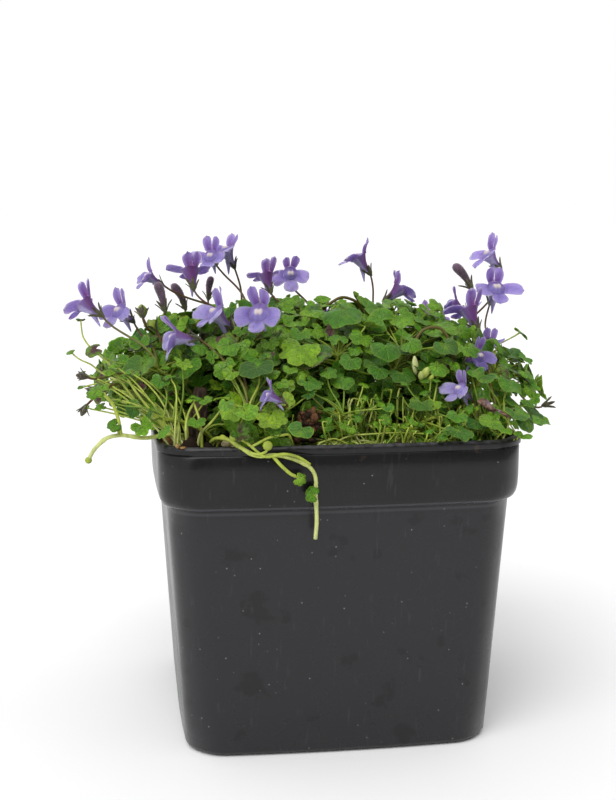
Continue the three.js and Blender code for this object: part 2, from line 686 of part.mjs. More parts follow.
// The corolla: a tube that widens to a throat, five lobes round it and a palate of two bumps
const makeCorolla = flower => {
  const points = [];
  const put = (x, y, z) => points.push(inFlower(flower, x, y, z)) - 1;
  const faces = [];
  const wall = (a, b, topB, topA) => faces.push([a, b, topB], [a, topB, topA]);
  const middles = PETALS.map(({ from, to }) => radians((from + to) / 2));
  const tail = middles.map(angle => put(0.4 * Math.cos(angle), 0.4 * Math.sin(angle), 0.85));
  faces.push([tail[0], tail[2], tail[1]], [tail[0], tail[3], tail[2]], [tail[0], tail[4], tail[3]]);
  const back = [];
  const front = [];
  PETALS.forEach(({ from, to, length, width, rise }, k) => {
    const [outX, outY] = [Math.cos(middles[k]), Math.sin(middles[k])];
    const level = Math.cos(radians(rise));
    const lift = Math.sin(radians(rise));
    const outline = [
      [from, 0, 0], [0, 0.6, -0.5], [0, 0.97, -0.3], [0, 0.97, 0.3], [0, 0.6, 0.5], [to, 0, 0]
    ];
    const sides = [0, PETAL_THICKNESS].map(depth => outline.map(([angle, share, aside]) => {
      const onThroat = share === 0;
      const away = THROAT_RADIUS + length * share * level - depth * lift;
      const x = onThroat ? THROAT_RADIUS * Math.cos(radians(angle)) - depth * lift * outX
        : away * outX - aside * width * outY;
      const y = onThroat ? THROAT_RADIUS * Math.sin(radians(angle)) - depth * lift * outY
        : away * outY + aside * width * outX;
      return put(x, y, TUBE_LENGTH + length * share * lift + depth * level);
    }));
    const [b, f] = sides;
    faces.push([f[0], f[1], f[4]], [f[0], f[4], f[5]], [f[1], f[2], f[3]], [f[1], f[3], f[4]]);
    faces.push([b[0], b[4], b[1]], [b[0], b[5], b[4]], [b[1], b[3], b[2]], [b[1], b[4], b[3]]);
    for (let i = 0; i < 5; i += 1) {
      wall(b[i], b[i + 1], f[i + 1], f[i]);
    }
    back.push(b[0], b[5]);
    front.push(f[0], f[5]);
  });
  const spurRoot = [put(0, -0.75, 1.9), put(0.4, -1.05, 3), put(-0.4, -1.05, 3)];
  const spurTip = put(0, -2.75, -0.6);
  const underside = [tail[3], back[7], back[6]];
  for (let i = 0; i < 3; i += 1) {
    const next = (i + 1) % 3;
    wall(underside[i], underside[next], spurRoot[next], spurRoot[i]);
    faces.push([spurRoot[i], spurRoot[next], spurTip]);
  }
  for (let k = 0; k < 5; k += 1) {
    const next = (k + 1) % 5;
    if (k !== 3) {
      faces.push([tail[k], back[2 * k + 1], back[2 * k]]);
    }
    wall(tail[k], tail[next], back[(2 * k + 2) % 10], back[2 * k + 1]);
    wall(back[2 * k + 1], back[(2 * k + 2) % 10], front[(2 * k + 2) % 10], front[2 * k + 1]);
  }
  const bumps = [put(0.9, -0.4, TUBE_LENGTH + 2), put(-0.9, -0.4, TUBE_LENGTH + 2)];
  for (let i = 0; i < 10; i += 1) {
    faces.push([front[i], front[(i + 1) % 10], bumps[i >= 2 && i <= 6 ? 1 : 0]]);
  }
  faces.push([front[2], bumps[1], bumps[0]], [front[7], bumps[0], bumps[1]]);
  return solid(points, faces);
};

// A closed bud: a spindle between its calyx and its tip
const makeBud = bud => rod(
  [0.85, 2.6, 4.8, 7.2].map(z => inFlower(bud, 0, 0, z)),
  [0.4, 1.15, 1.35, 0.35].map(radius => radius * bud.size),
  5
);

// A stalk that ends in a round green capsule
const makeCapsule = ({ line, flower }) => {
  const swelling = [[0.6, 0.75], [1.2, 1], [2, 0.9], [2.5, 0.25]];
  const heights = swelling.map(([z]) => inFlower(flower, 0, 0, z * flower.capsule));
  const radii = swelling.map(([, share]) => share * flower.capsule);
  return rod([...line, ...heights], [...line.map(() => PEDICEL_RADIUS), ...radii], 5);
};

const makeLeafyStem = stem => {
  const line = [stem.foot, ...stem.line];
  const tube = rod(line, line.map(() => STEM_RADIUS), 4);
  const makeStalk = stalk => (stalk.flower.capsule > 0 ? makeCapsule(stalk) : makeStalkAndCalyx(stalk));
  return join([tube, ...stem.leaves.map(makeLeaf), ...stem.stalks.map(makeStalk)]);
};

// A leaf on a runner: the start and end of its stalk, the way it points and faces, and its size
const runnerLeaf = (start, base, heading, normal, size) => {
  const up = point(...normal).normalize();
  const along = point(...heading);
  along.addScaledVector(up, -along.dot(up)).normalize();
  return makeLeaf({
    start: point(...start),
    base: point(...base),
    along,
    across: up.clone().cross(along),
    normal: up,
    size,
    cup: -0.1
  });
};

// A runner with one side shoot, and a small bud at its end where one is asked for
const makeRunner = (main, shoot, leaves, tipBud) => {
  const mainLine = main.map(p => point(...p));
  const shootLine = shoot.map(p => point(...p));
  const radii = mainLine.map(() => RUNNER_RADIUS);
  const parts = [rod(mainLine, radii, 4), rod(shootLine, shootLine.map(() => SHOOT_RADIUS), 3), ...leaves];
  if (tipBud > 0) {
    const end = mainLine[mainLine.length - 1];
    parts.push(rod(
      [-1, -0.5, 0.5, 1].map(k => sum([end, 1], [UP, k * tipBud])),
      [0.4, 0.95, 0.95, 0.4].map(k => k * tipBud),
      6
    ));
  }
  return join(parts);
};

// A flat splinter with four sides that narrows upwards
const makeBarkChip = () => {
  const level = soilHeight(CHIP_FOOT[0], CHIP_FOOT[1]);
  const section = ([x, y, z], wide, deep) => [
    point(x - wide, y - deep, level + z), point(x + wide, y - 0.6 * deep, level + z),
    point(x + 0.8 * wide, y + deep, level + z), point(x - 0.7 * wide, y + deep, level + z)
  ];
  return loft([section(CHIP_FOOT, 1.5, 0.9), section(CHIP_WAIST, 1.8, 0.8), section(CHIP_TOP, 1.1, 0.6)]);
};

// Assembly

const runnerRoots = [FRONT_RUNNER, LEFT_RUNNER].map(([[x, y]]) => ({ x, y, radius: RUNNER_RADIUS }));
for (const line of [FRONT_RUNNER, FRONT_SHOOT, LEFT_RUNNER, LEFT_SHOOT]) {
  addBalls(alongLine(line.map(p => point(...p)), 1), RUNNER_BALL, OTHER);
}
const chipLine = [CHIP_FOOT, CHIP_TOP].map(([x, y, z]) => point(x, y, z + SOIL_LEVEL));
addBalls(alongLine(chipLine, 1.5), CHIP_BALL, OTHER);

const stems = planStems();
const flowers = [
  ...BLOOMS.map(flower => ({ ...flower, reach: OPEN_REACH })),
  ...BUDS.map(flower => ({ ...flower, reach: BUD_REACH })),
  ...SEED_HEADS.map(flower => ({ ...flower, reach: SEED_REACH }))
];
flowers.forEach((flower, i) => keepRoomForFlower(flower, FLOWER + i));
flowers.forEach((flower, i) => planStalk(stems, flower, FLOWER + i));
planLeaves(stems);

const numbered = (name, i) => `${name}_${String(i + 1).padStart(2, '0')}`;

show('pot', makePot(), 0x2e3033, 0.5);
show('soil', makeSoil([...stems.map(({ x, y }) => ({ x, y, radius: STEM_RADIUS })), ...runnerRoots]),
  0x3b2c20, 0.95);
stems.forEach((stem, i) => show(numbered('leafy_stem', i), makeLeafyStem(stem), 0x5f9430, 0.55));
BLOOMS.forEach((bloom, i) => show(numbered('bloom', i), makeCorolla(bloom), 0x8f80d4, 0.6));
BUDS.forEach((bud, i) => show(numbered('bud', i), makeBud(bud), 0x5c3d63, 0.7));
show('front_runner', makeRunner(FRONT_RUNNER, FRONT_SHOOT, [
  runnerLeaf([-8, -47.4, 68], [-8.8, -49.6, 68.8], [-1, 0, 0.4], [0.2, -1, 0.3], 2.2),
  runnerLeaf([-13.4, -48.8, 73.4], [-12.6, -50.6, 73], [1, 0, -0.5], [0, -1, 0.4], 1.9)
], 0), 0xb9c95a, 0.5);
show('left_runner', makeRunner(LEFT_RUNNER, LEFT_SHOOT, [
  runnerLeaf([-57.6, -38.9, 92.4], [-58.9, -39.4, 93.4], [-1, -0.2, 0.2], [-0.2, -0.6, 1], 3),
  runnerLeaf([-54.4, -38.5, 82.4], [-55, -39.4, 85], [-1, -0.4, 0], [-0.1, -0.7, 1], 2.3)
], TIP_BUD), 0xb9c95a, 0.5);
show('bark_chip', makeBarkChip(), 0x4a3a2c, 0.9);

export default group;
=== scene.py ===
import functools
import math
import bpy
import numpy as np
from mathutils import Matrix


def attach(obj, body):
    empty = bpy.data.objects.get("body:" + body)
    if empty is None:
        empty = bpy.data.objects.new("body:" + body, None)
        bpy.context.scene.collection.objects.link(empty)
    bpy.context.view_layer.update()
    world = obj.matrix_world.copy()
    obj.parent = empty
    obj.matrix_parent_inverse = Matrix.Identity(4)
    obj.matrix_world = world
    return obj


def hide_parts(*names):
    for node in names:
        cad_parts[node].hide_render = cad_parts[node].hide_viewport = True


# Ivy-leaved toadflax in flower in a square nursery pot.
# Lengths are millimetres in every function; build() turns them to metres when a mesh is made.

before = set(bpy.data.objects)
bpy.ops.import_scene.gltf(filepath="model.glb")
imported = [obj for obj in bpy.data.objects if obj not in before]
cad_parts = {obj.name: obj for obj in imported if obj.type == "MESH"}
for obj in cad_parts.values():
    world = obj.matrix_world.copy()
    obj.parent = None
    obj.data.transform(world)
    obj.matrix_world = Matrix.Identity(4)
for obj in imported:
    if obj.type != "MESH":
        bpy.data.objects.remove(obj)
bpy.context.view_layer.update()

MM = 0.001

# Pot
POT_HEIGHT = 80
RIM_HALF = 45
BASE_HALF = 38.6
COLLAR_FOOT = 64
NECK_HALF = 42.6
MOUTH_INSIDE = 43.3
NECK_INSIDE = 41.7
BASE_INSIDE = 37.6
CORNER_RADIUS = 9
WALL_BOW = 1.5
FLOOR_THICKNESS = 1.2
DRAIN_RADIUS = 3.5
DRAIN_OFFSET = 26
WALL_ROOM = 2.5
FLUTE_DEPTH = 0.22
FLUTE_PITCH = 9
FLUTED_HALF = 31.5
CORNER_STEPS = 12
SIDE_STEPS = 9

# Soil
SOIL_LEVEL = 77
SOIL_CROWN = 2
SOIL_GAP = 0.35
ROOT_DEPTH = 6
SOWN_HALF = 41
CRUMBS = 420
MOSS_TUFTS = 60
MOSS_BLADES = 34
SEEDLINGS = 250
RUNNING_STEMS = 46

# Foliage: how far it spreads from the middle and how high it rises over the rim
SPREAD_LEFT = 68
SPREAD_RIGHT = 64
SPREAD_FRONT = 51
SPREAD_BACK = 58
CANOPY_RISE = 30
CANOPY_OVER_TIPS = 6
DIP_DEPTH = 11
DIP_SHRINK = 0.42

# Leafy stems, rooted on a grid
SEED = 4711
ROWS = 5
PITCH = 16.5
ROOT_JITTER = 2.4
STEM_STEPS = (0, 0.3, 0.55, 0.8, 1)
LEAN_LEFT = 1.42
LEAN_FRONT = 1.14
LEAN_OTHERWISE = 1.3
LEAVES_OUTER = 6
LEAVES_INNER = 5
LEAF_TURN = 137.5
LEAF_TRIES = 40
STALK_TRIES = 24
STALK_RISE = 3
SEED_STALK_RISE = -14
STALK_SWAY = 0.3
STALK_MORE_SWAY = 0.36
LEAF_THICKNESS = 0.6
LEAF_LEAST = 4.2
LEAF_MORE = 2.6
LEAF_STALK_LEAST = 6
LEAF_STALK_MORE = 9
FACING_LEAST = 0.3

# Room kept round each thing, as balls along it
BLADE_BALL = 0.7
BLADE_SPACING = 1.6
STALK_BALL = 0.86
STEM_BALL = 1.15
RUNNER_BALL = 1.2
CHIP_BALL = 2.2
ATTACH_FREE = 2.3
OPEN_REACH = 8
BUD_REACH = 7
SEED_REACH = 4
TUBE_BALLS = ((0.3, 1.4), (1.8, 1.7), (3.5, 1.7), (5, 1.8), (6.4, 1.5))
LOBE_BALL = 1.9
LOBE_ROOM = ((69.5, 5.2), (110.5, 5.2), (192, 5.2), (270, 4.4), (348, 5.2))
STALKS_OF = 1000
BLADES_OF = 2000
FLOWER = 3000
OTHER = 5000

# Flowers
TUBE_LENGTH = 6
THROAT_RADIUS = 2.1
TUBE_FOOT = 0.7
TUBE_FOOT_RADIUS = 0.72
PETAL_THICKNESS = 0.2
SEPAL_ANGLES = (25, 90, 155, 222, 318)
LIMB_RADIUS = 2.4
SEPAL_LENGTH = 3.1
SEPAL_HALF = 0.46
SEPAL_THICKNESS = 0.2
BUD_LENGTH = 7.9
BUD_RADIUS = 1.65
BUD_HAIRS = 110
HAIR_LENGTH = 0.75
HAIR_HALF = 0.035
LOBES = (
    dict(start=42, end=90, length=4.3, width=2.9, rise=47, curl=26, droop=0.17, ear=True),
    dict(start=90, end=138, length=4.3, width=2.9, rise=47, curl=26, droop=-0.17, ear=True),
    dict(start=150, end=247, length=4.5, width=4.6, rise=24, curl=42, droop=0.13, ear=False),
    dict(start=237, end=303, length=4.2, width=4.6, rise=16, curl=48, droop=0, ear=False),
    dict(start=293, end=390, length=4.5, width=4.6, rise=24, curl=42, droop=-0.13, ear=False),
)

# Each flower: where its calyx stands, the compass turn and tilt that it faces, and its size
BLOOMS = (
    ((-58.3, -11, 108.7), 150, 30, 1), ((-50.4, -3, 106.4), -140, 20, 0.95),
    ((-42.4, 7, 115.6), -165, 30, 0.75), ((-34.2, 1, 114.6), 100, 55, 1),
    ((-20.8, 22, 118.9), -95, 65, 0.95), ((-27.8, 20.5, 117.6), -115, 25, 0.85),
    ((-34.4, -23, 103.7), -175, 5, 1), ((-25.1, -14, 104.8), -160, 35, 1),
    ((-17, -20, 106), -112, 20, 1.1), ((-13.0, 5, 113.2), 115, 60, 0.9),
    ((-6.2, 23, 116), -88, 12, 1), ((18.9, 28, 116.8), 160, 55, 1),
    ((22.7, 26, 109.1), 10, 35, 1), ((58.3, 28, 118.2), -165, 35, 1),
    ((54.2, 22, 111.9), -85, 25, 1.15), ((42.6, -8, 103.4), 118, 50, 1),
    ((40.2, 12, 104.4), 165, 30, 0.8), ((35, -17.5, 94.6), -72, 5, 0.8),
    ((34, -30, 87.6), -140, 15, 0.95), ((48.2, -2, 94.6), -80, 68, 0.75),
    ((-36, 50, 99), 110, 30, 1), ((8, 54, 97), 80, 25, 1),
    ((40, 47, 98), 55, 35, 0.95), ((-15.4, -43.6, 90.2), 176, -4, 0.95),
)
BUDS = (
    ((-42, -1, 109), 120, 62, 1), ((-36.2, 9, 108.8), 140, 55, 0.95),
    ((44.7, 10, 113.6), 140, 48, 1.05), ((-29.2, 20, 110.5), 60, 70, 0.8),
    ((24.4, -13, 92.2), -90, 84, 0.7),
)
SEED_HEADS = (
    ((60.6, -9, 82.6), 0, 15, 0), ((-60, -13, 90), 190, -25, 0),
    ((-47.8, 8, 106.5), 100, 60, 1.5), ((-44.6, -8, 104.6), 200, 50, 1.3),
)

# Long runners and their side shoots
FRONT_RUNNER = (
    (-33, -35.5, 71), (-33, -35.5, 78.6), (-31.4, -40, 81.4), (-28.4, -44.5, 81.8), (-25, -47.6, 79.6),
    (-22, -47.9, 77.7), (-18.7, -47.9, 78.5), (-15.9, -47.9, 78.1), (-12.3, -47.7, 76.8),
    (-9.2, -47.5, 75.2), (-7.8, -47.4, 72.8), (-8.1, -47.4, 68.3), (-7.7, -47.3, 62), (-8.1, -47.3, 57.4),
)
FRONT_SHOOT = ((-18.7, -47.9, 78.5), (-16.8, -48.6, 76.2), (-14.4, -48.8, 73.9), (-13, -48.9, 73.2))
LEFT_RUNNER = (
    (-36.5, -28, 71), (-36.5, -28, 78.6), (-38.6, -32.5, 80.9), (-42.5, -36.5, 81.9), (-48.3, -38, 81.2),
    (-53.8, -38.5, 82.4), (-57.4, -38.5, 81.8), (-60.6, -38, 78.6), (-61.7, -37.6, 76.2),
)
LEFT_SHOOT = ((-53.8, -38.5, 82.4), (-54.3, -38.6, 86), (-55.4, -38.7, 89.7), (-57.8, -38.9, 92.6))
TWINED = (
    ((-31, -37, 78), (-30, -41.5, 82.4), (-26.5, -46.4, 80.1), (-22, -48.7, 78.5), (-19.5, -48.6, 79.4),
     (-19.6, -47.9, 80)),
    ((-26, -38, 78), (-27.4, -43.5, 82.6), (-24.2, -47.4, 81.2), (-20.4, -48.8, 77.7), (-16, -48.7, 78.9),
     (-12.2, -48, 77.8), (-9.4, -47.7, 75.8)),
    ((-12, -40, 77), (-14, -44, 82.6), (-19, -47.5, 82.6), (-23.4, -47.6, 80.4)),
)
RUNNER_RADIUS = 0.5
SHOOT_RADIUS = 0.42
TIP_BUD = 0.85
CHIP_FOOT = (-35.2, -22, 0.35)
CHIP_WAIST = (-34.6, -23, 8.35)
CHIP_TOP = (-34, -24, 14.85)
CHIP_WAIST_SHARE = 0.55
CHIP_HALF_WIDTHS = (1.9, 2.3, 1.5)
CHIP_HALF_DEPTHS = (0.9, 0.8, 0.6)

# Thin pale stems that rise bare from the soil at the front left, and a few at the front middle
BARE_STEMS = (
    ((-39, -35, 77), (-40.1, -36, 80.3), (-42.5, -34.8, 82.6), (-45.2, -33.6, 85.4), (-47.7, -32.4, 88.5),
     (-49.8, -31.2, 91.1), (-51.9, -30, 94.4)),
    ((-38.5, -34, 77), (-40.6, -34, 80.5), (-43.7, -32.6, 82.8), (-46.8, -31.2, 85.1), (-49.6, -29.8, 88.4),
     (-52.5, -28.4, 92.2), (-55.1, -27, 95.6)),
    ((-39, -33, 77), (-41.5, -32.5, 80.8), (-44.4, -30.3, 83.4), (-47.4, -27.7, 86.8), (-50.1, -25, 89.7)),
    ((-39, -31.5, 77), (-40.8, -31, 83.2), (-41.8, -28.7, 87.6), (-42.7, -26.3, 91.5), (-39.4, -24, 95.4)),
    ((-38, -37, 77), (-38.3, -37, 82.4), (-38.3, -36, 84), (-37.6, -35, 86.7), (-36.1, -34, 89.3)),
    ((-34.5, -38, 77), (-34.6, -38, 82.5), (-35, -36, 85.6), (-36.1, -34, 88.9)),
    ((-36, -38, 77), (-34.9, -38, 82.3), (-32.2, -37, 84.5), (-29.4, -36, 87.8)),
    ((-52, -20, 92), (-56, -19, 93.5), (-59, -18, 95), (-61.2, -17.5, 97), (-63.9, -17, 98),
     (-65.4, -16.5, 99.2)),
    ((-50, -23, 92), (-55.9, -22, 93.4), (-59, -21.3, 92.6), (-61.5, -20.7, 92.1), (-63, -20, 91.5)),
    ((-56, -15, 96), (-60, -14, 99.6), (-62, -12.7, 101.3), (-63.4, -11.3, 103.5), (-63.7, -10, 106.5)),
    ((-3.5, -39.5, 77), (-2.4, -39.5, 79.3), (1.1, -39.4, 81), (7, -39.2, 81.2), (13.2, -39.1, 81.4),
     (21.8, -39, 80.8), (24, -38, 78)),
    ((3.7, -37, 76), (3.8, -36, 80.2), (4, -33, 85.8), (6.3, -30, 91.1)),
    ((17.6, -38, 76), (17.7, -37, 79.7), (17.9, -35.5, 84.3), (19.1, -34, 88.1)),
    ((24.7, -38, 76), (24.7, -37, 80.7), (24.8, -35, 85.4), (22.4, -33, 89.4)),
    ((-7.5, -40.5, 77), (-6.3, -40.5, 79.5), (-2.5, -40.2, 80.6), (1, -40, 79)),
)

# How many more such stems rise in a bundle at the front left
BUNDLE = 24

# A mound of compost pushed up among the leaves: its foot and its top
CLUMP = ((-9, -36, 80), (-8.2, -36.6, 87))
CLUMP_LUMPS = 90

# Leaves that stand out at the front: place, compass turn and tilt of the face, size, and age
KEY_LEAVES = (
    ((-9.5, -26.2, 100.2), -100, 38, 6.2, 0.85), ((-17.7, -33.9, 95.6), -95, 35, 3, 0.75),
    ((-12.2, -31.7, 96.4), -80, 30, 2.2, 0.6), ((-20.8, -33.3, 96.5), -120, 25, 5, 0.12),
    ((-14.5, -35.6, 93.5), -90, 30, 2.3, 0.6), ((-7, -33.6, 93.1), -70, 25, 3.8, 0.5),
    ((-30, -41, 91.4), -80, -10, 2.4, 0.9), ((-27.5, -45, 88.1), -100, 35, 3.4, 0.85),
    ((-23.7, -45.5, 87.4), -95, 40, 3, 0.8), ((-18.1, -46, 86.6), -85, 38, 4.2, 0.95),
    ((-12.1, -48, 83.7), -80, 30, 3.5, 0.4),
    ((-44, -31.5, 94), -100, 40, 3, 0.55), ((-27.4, -26.3, 101.5), -100, 45, 3.4, 0.6),
    ((-38.2, -29.4, 97.6), -60, 40, 2.6, 0.85), ((-57.9, -34, 92.9), -110, 20, 2, 0.8),
    ((-56.2, -30, 96.7), -100, 25, 2.1, 0.85), ((-60.8, -20, 100.8), -120, 35, 2.9, 0.75),
    ((27.1, -44, 85.8), -85, 30, 3, 0.6), ((35, -44.5, 84.2), -80, 30, 3.3, 0.7),
    ((38, -46.5, 82.7), -60, 25, 2.4, 0.7), ((43, -46.5, 81.1), -70, 20, 2.6, 0.7),
    ((49.4, -40, 83.4), -60, 25, 2.8, 0.6), ((42.6, -41, 85.2), -60, 35, 3.6, 0.4),
    ((43.6, -31.3, 91.1), -55, 35, 4, 0.5), ((50.7, -22.5, 92.6), -50, 35, 2.7, 0.7),
    ((53, -15, 96.1), -50, 35, 2.5, 0.6), ((23.4, -34.5, 87.6), -90, 35, 2.4, 0.9),
    ((26.6, -27.9, 95.3), -90, 35, 3, 0.65), ((20, -34.6, 87.2), -95, 30, 3.6, 0.2),
    ((17.2, -28.3, 93.9), -80, 35, 3.8, 0.25), ((22.8, -47.5, 81.3), -90, 20, 1.8, 0.5),
    ((23.9, -47, 82.7), -60, 30, 1.7, 0.6), ((3.4, -12.1, 108), -120, 30, 6, 0.5),
    ((7.4, -19.9, 102.9), -80, 40, 3.6, 0.6), ((13.4, -22.9, 99.5), -70, 38, 4.6, 0.45),
    ((20.7, -21.5, 101.1), -90, 40, 3.4, 0.6), ((3.8, -26, 97.5), -90, 40, 3.4, 0.45),
    ((10.7, -27.3, 95), -75, 40, 3.2, 0.4), ((-1.9, -29.4, 95.4), -90, 35, 2.6, 0.55),
    ((20.7, -12.6, 107.3), -90, 40, 4.4, 0.7), ((-8.3, -20.9, 104), -90, 40, 3, 0.55),
    ((-48.8, -12.2, 101.1), -110, 40, 3.2, 0.6),
    ((-53.5, -14.2, 97), -110, 40, 2.6, 0.6), ((49.1, -32.3, 87.2), -40, 30, 2.3, 0.5),
    ((35.8, -30.9, 92.9), -80, 35, 3.4, 0.35), ((35.1, -23.4, 99.2), -80, 40, 3.2, 0.5),
)

# Spent heads, each with the root of its stalk, its place, turn, tilt and size
SPENT_HEADS = (
    ((-52, -24, 94), (-61.9, -28, 95.1), 190, 12, 0.8), ((-54, -27, 92), (-62.3, -33, 88.6), 215, -62, 0.75),
    ((-44, -4, 100), (-48.1, -10, 108.4), 120, 65, 0.7),
)

# Withered flowers as the foot, the tip and the girth of each, and stems that arch over the leaves
WITHERED = (((34.2, -37, 88.4), (38.4, -39, 86.4), 1.25), ((38.2, -39, 86.5), (43.2, -41, 84.2), 0.45))
ARCHES = (
    ((20, -19, 96), (20.8, -20, 100.5), (24.2, -19, 105.2), (28.9, -19, 105.6), (31.6, -20, 101),
     (32, -20, 96)),
    ((-1, 6, 104), (1, 2, 109), (6, 1, 112.4), (11, 2, 110.5), (13, 4, 105)),
)

# How some blooms have grown and settled in the room kept for them: the share of its size, the further
# turn and tilt, how far each has moved, and how much its violet is darkened as painted shade where it sits
# in shade among the leaves
SETTLED = {
    1: (1, 0, 14, (0, 0, 0), 0), 4: (1, -55, -3, (-0.8, 0, 0.4), 0), 5: (1, 0, 8, (1, 0, 2.4), 0),
    7: (1.08, 0, 8, (0, 0, 0.4), 0), 8: (0.95, 0, 2, (0, 0, 1.9), 0), 10: (0.88, 0, 2, (0, 0, 0.4), 0),
    13: (1, 0, 10, (0, 0, 0), 0), 14: (0.98, 0, 20, (-0.6, 0, -3.6), 0.1),
    15: (1.08, 0, 6, (-0.8, 0, 0), 0.05), 16: (1, 0, 0, (3, -4, 2.6), 0.25),
    17: (1, 20, 20, (0.4, -2, 1.6), 0.35), 18: (0.84, -16, 24, (0.2, -0.5, 0.4), -0.1),
    19: (1.05, -30, 0, (-1.2, 0, 0.5), 0.3), 20: (0.85, 0, 0, (0, 1, -4.5), 0),
    23: (0.7, 0, 30, (0.4, 0, 0), 0.15),
}

# Where the stalks of some blooms go in among the leaves, and how much of its sway such a stalk keeps
ROOTS = {
    0: (-52.2, -11.8, 98), 1: (-47, -14.3, 100.8), 6: (-26.6, -35.1, 94.4), 7: (-22.8, -30.9, 97.7),
    8: (-16.9, -26.6, 100.4), 14: (42.8, -26.4, 94.3), 15: (39, -30.6, 92.1),
}
ROOTED_SWAY = 0.3

# Young shoot tips and unripe capsules: the foot, the tip and the girth of each, and how pale it is
SHOOT_TIPS = (
    ((20.8, -26, 94), (20.2, -26.8, 98.8), 0.85, 1), ((22.2, -28.4, 93.4), (23.2, -29.2, 96.2), 1, 0.8),
    ((21.6, -28.6, 92.8), (21.4, -29.4, 95.2), 0.8, 0.85),
    ((23.6, -28.4, 92.4), (24.6, -29.2, 94.2), 0.7, 0.75),
    ((-36.6, -6, 104.6), (-37.4, -6.4, 108.4), 1.7, 0.6),
    ((-34.4, -6, 104.4), (-33.8, -6.8, 107.4), 1.2, 0.55),
)

# Camera: its place, how far it turns to the plant's right and looks down, and its lens
CAMERA_PLACE = (-50.24, -341.83, 136.17)
CAMERA_TURN = 7.8
CAMERA_DOWN = 8.6
CAMERA_LENS = 57.33

# Light: where it stands, how wide it is in degrees, and its strength
SOFTBOX_FROM = (-0.4, -0.75, 0.9)
SOFTBOX_ANGLE = 50
SOFTBOX_STRENGTH = 1.7
FLOOR_HALF = 9
FLOOR_DROP = 0.0004

# A piece's finishes in their order: a blade's upper and under side, a stalk, and a sepal
UPPER, UNDER, STALK, SEPAL = range(4)

# The tone of a surface that has no tone of its own
NEUTRAL = (0.5, 0, 0.5, 0)

rng = np.random.default_rng(SEED)


# Vectors and seeded numbers

UP = np.array([0.0, 0.0, 1.0])


def unit(v):
    """Each vector divided by its length."""
    return v / np.maximum(np.linalg.norm(v, axis=-1, keepdims=True), 1e-12)


def vec(*parts):
    """The numbers as one point or direction."""
    return np.array(parts, float)


def together(*parts):
    """Numbers or arrays, spread to their common shape and put side by side in a last axis."""
    return np.stack(np.broadcast_arrays(*parts), axis=-1)


def draw(*keys):
    """A number from 0 to 1 that depends only on the seed and the whole numbers given."""
    mask = 0xffffffff
    h = SEED
    for key in keys:
        h = ((h ^ (key + 0x9e3779b9)) & mask) * 0x85ebca6b & mask
        h ^= h >> 13
        h = h * 0xc2b2ae35 & mask
        h ^= h >> 16
    return h / 2 ** 32


def spread(*keys):
    """The same draw, from -1 to 1."""
    return 2 * draw(*keys) - 1


def rounded(x):
    """The nearest whole number, halves upwards."""
    return int(math.floor(x + 0.5))


# Growth plan: where every stem, bloom and leaf goes

def soil_height(x, y):
    """A dome, crown (1 - r^2 / (2 half^2)), and two products of sines a third of a millimetre high."""
    dome = SOIL_CROWN * (1 - (x * x + y * y) / (2 * RIM_HALF * RIM_HALF))
    hills = 0.35 * np.sin(0.41 * x + 1.3) * np.cos(0.37 * y) + 0.25 * np.sin(0.63 * y + 0.3 * x)
    return SOIL_LEVEL - SOIL_CROWN + dome + hills


def front_dip(x, y):
    """How far into the hollow at the front of the foliage a place is: exp(-across^2 - along^2)."""
    across = (x - 14) / 24
    along = (y + 40) / 19
    return np.exp(-across * across - along * along)


def canopy_height(x, y):
    """The leaves' common surface: over the rim by rise (1 - across^4 - along^2), less the front dip."""
    across = x / np.where(x < 0, SPREAD_LEFT, SPREAD_RIGHT)
    along = y / np.where(y < 0, SPREAD_FRONT, SPREAD_BACK)
    fall = across * across * across * across + along * along
    return POT_HEIGHT + CANOPY_RISE * (1 - np.minimum(fall, 1.4)) - DIP_DEPTH * front_dip(x, y)


class Room:
    """Balls that stand for what already grows, each with an owner."""

    def __init__(self):
        """No balls yet."""
        self.points = np.zeros((0, 3))
        self.radii = np.zeros(0)
        self.owners = np.zeros(0, int)

    def add(self, points, radius, owner):
        """Takes in balls of one radius and one owner."""
        points = np.atleast_2d(points)
        self.points = np.concatenate([self.points, points])
        self.radii = np.concatenate([self.radii, np.full(len(points), radius)])
        self.owners = np.concatenate([self.owners, np.full(len(points), owner)])

    def near(self, centre, reach):
        """Which balls have their middle within reach of a centre."""
        return ((self.points - centre) ** 2).sum(axis=1) < reach * reach

    def touches(self, points, radius, chosen):
        """Whether a ball of this radius at any of the points overlaps one of the chosen balls."""
        gaps = ((points[:, None] - self.points[chosen][None]) ** 2).sum(axis=2)
        return bool((gaps < (radius + self.radii[chosen]) ** 2).any())


def meets_pot(points, radius):
    """Whether any ball would reach into the pot's wall or the soil."""
    x, y, z = points.T
    aside = np.maximum(np.abs(x), np.abs(y))
    over = (aside > RIM_HALF + WALL_BOW + radius) | (z > POT_HEIGHT + radius)
    inside = (aside > RIM_HALF - WALL_ROOM - radius) | (z < soil_height(x, y) + radius)
    return bool((~over & inside).any())


def along_line(line, spacing):
    """Evenly spaced points along a bent line."""
    parts = []
    for a, b in zip(line[:-1], line[1:]):
        count = max(1, rounded(np.linalg.norm(b - a) / spacing))
        parts.append(a + (b - a) * (np.arange(count) / count)[:, None])
    return np.concatenate([*parts, line[-1:]])


def bezier(a, b, c, d, shares):
    """(1-t)^3 a + 3 (1-t)^2 t b + 3 (1-t) t^2 c + t^3 d."""
    t = np.asarray(shares, float)[:, None]
    u = 1 - t
    return u ** 3 * a + 3 * u * u * t * b + 3 * u * t * t * c + t ** 3 * d


def way(turn, tilt):
    """The unit vector at a compass turn and a tilt upwards, both in degrees."""
    turn, tilt = math.radians(turn), math.radians(tilt)
    return vec(math.cos(tilt) * math.cos(turn), math.cos(tilt) * math.sin(turn), math.sin(tilt))


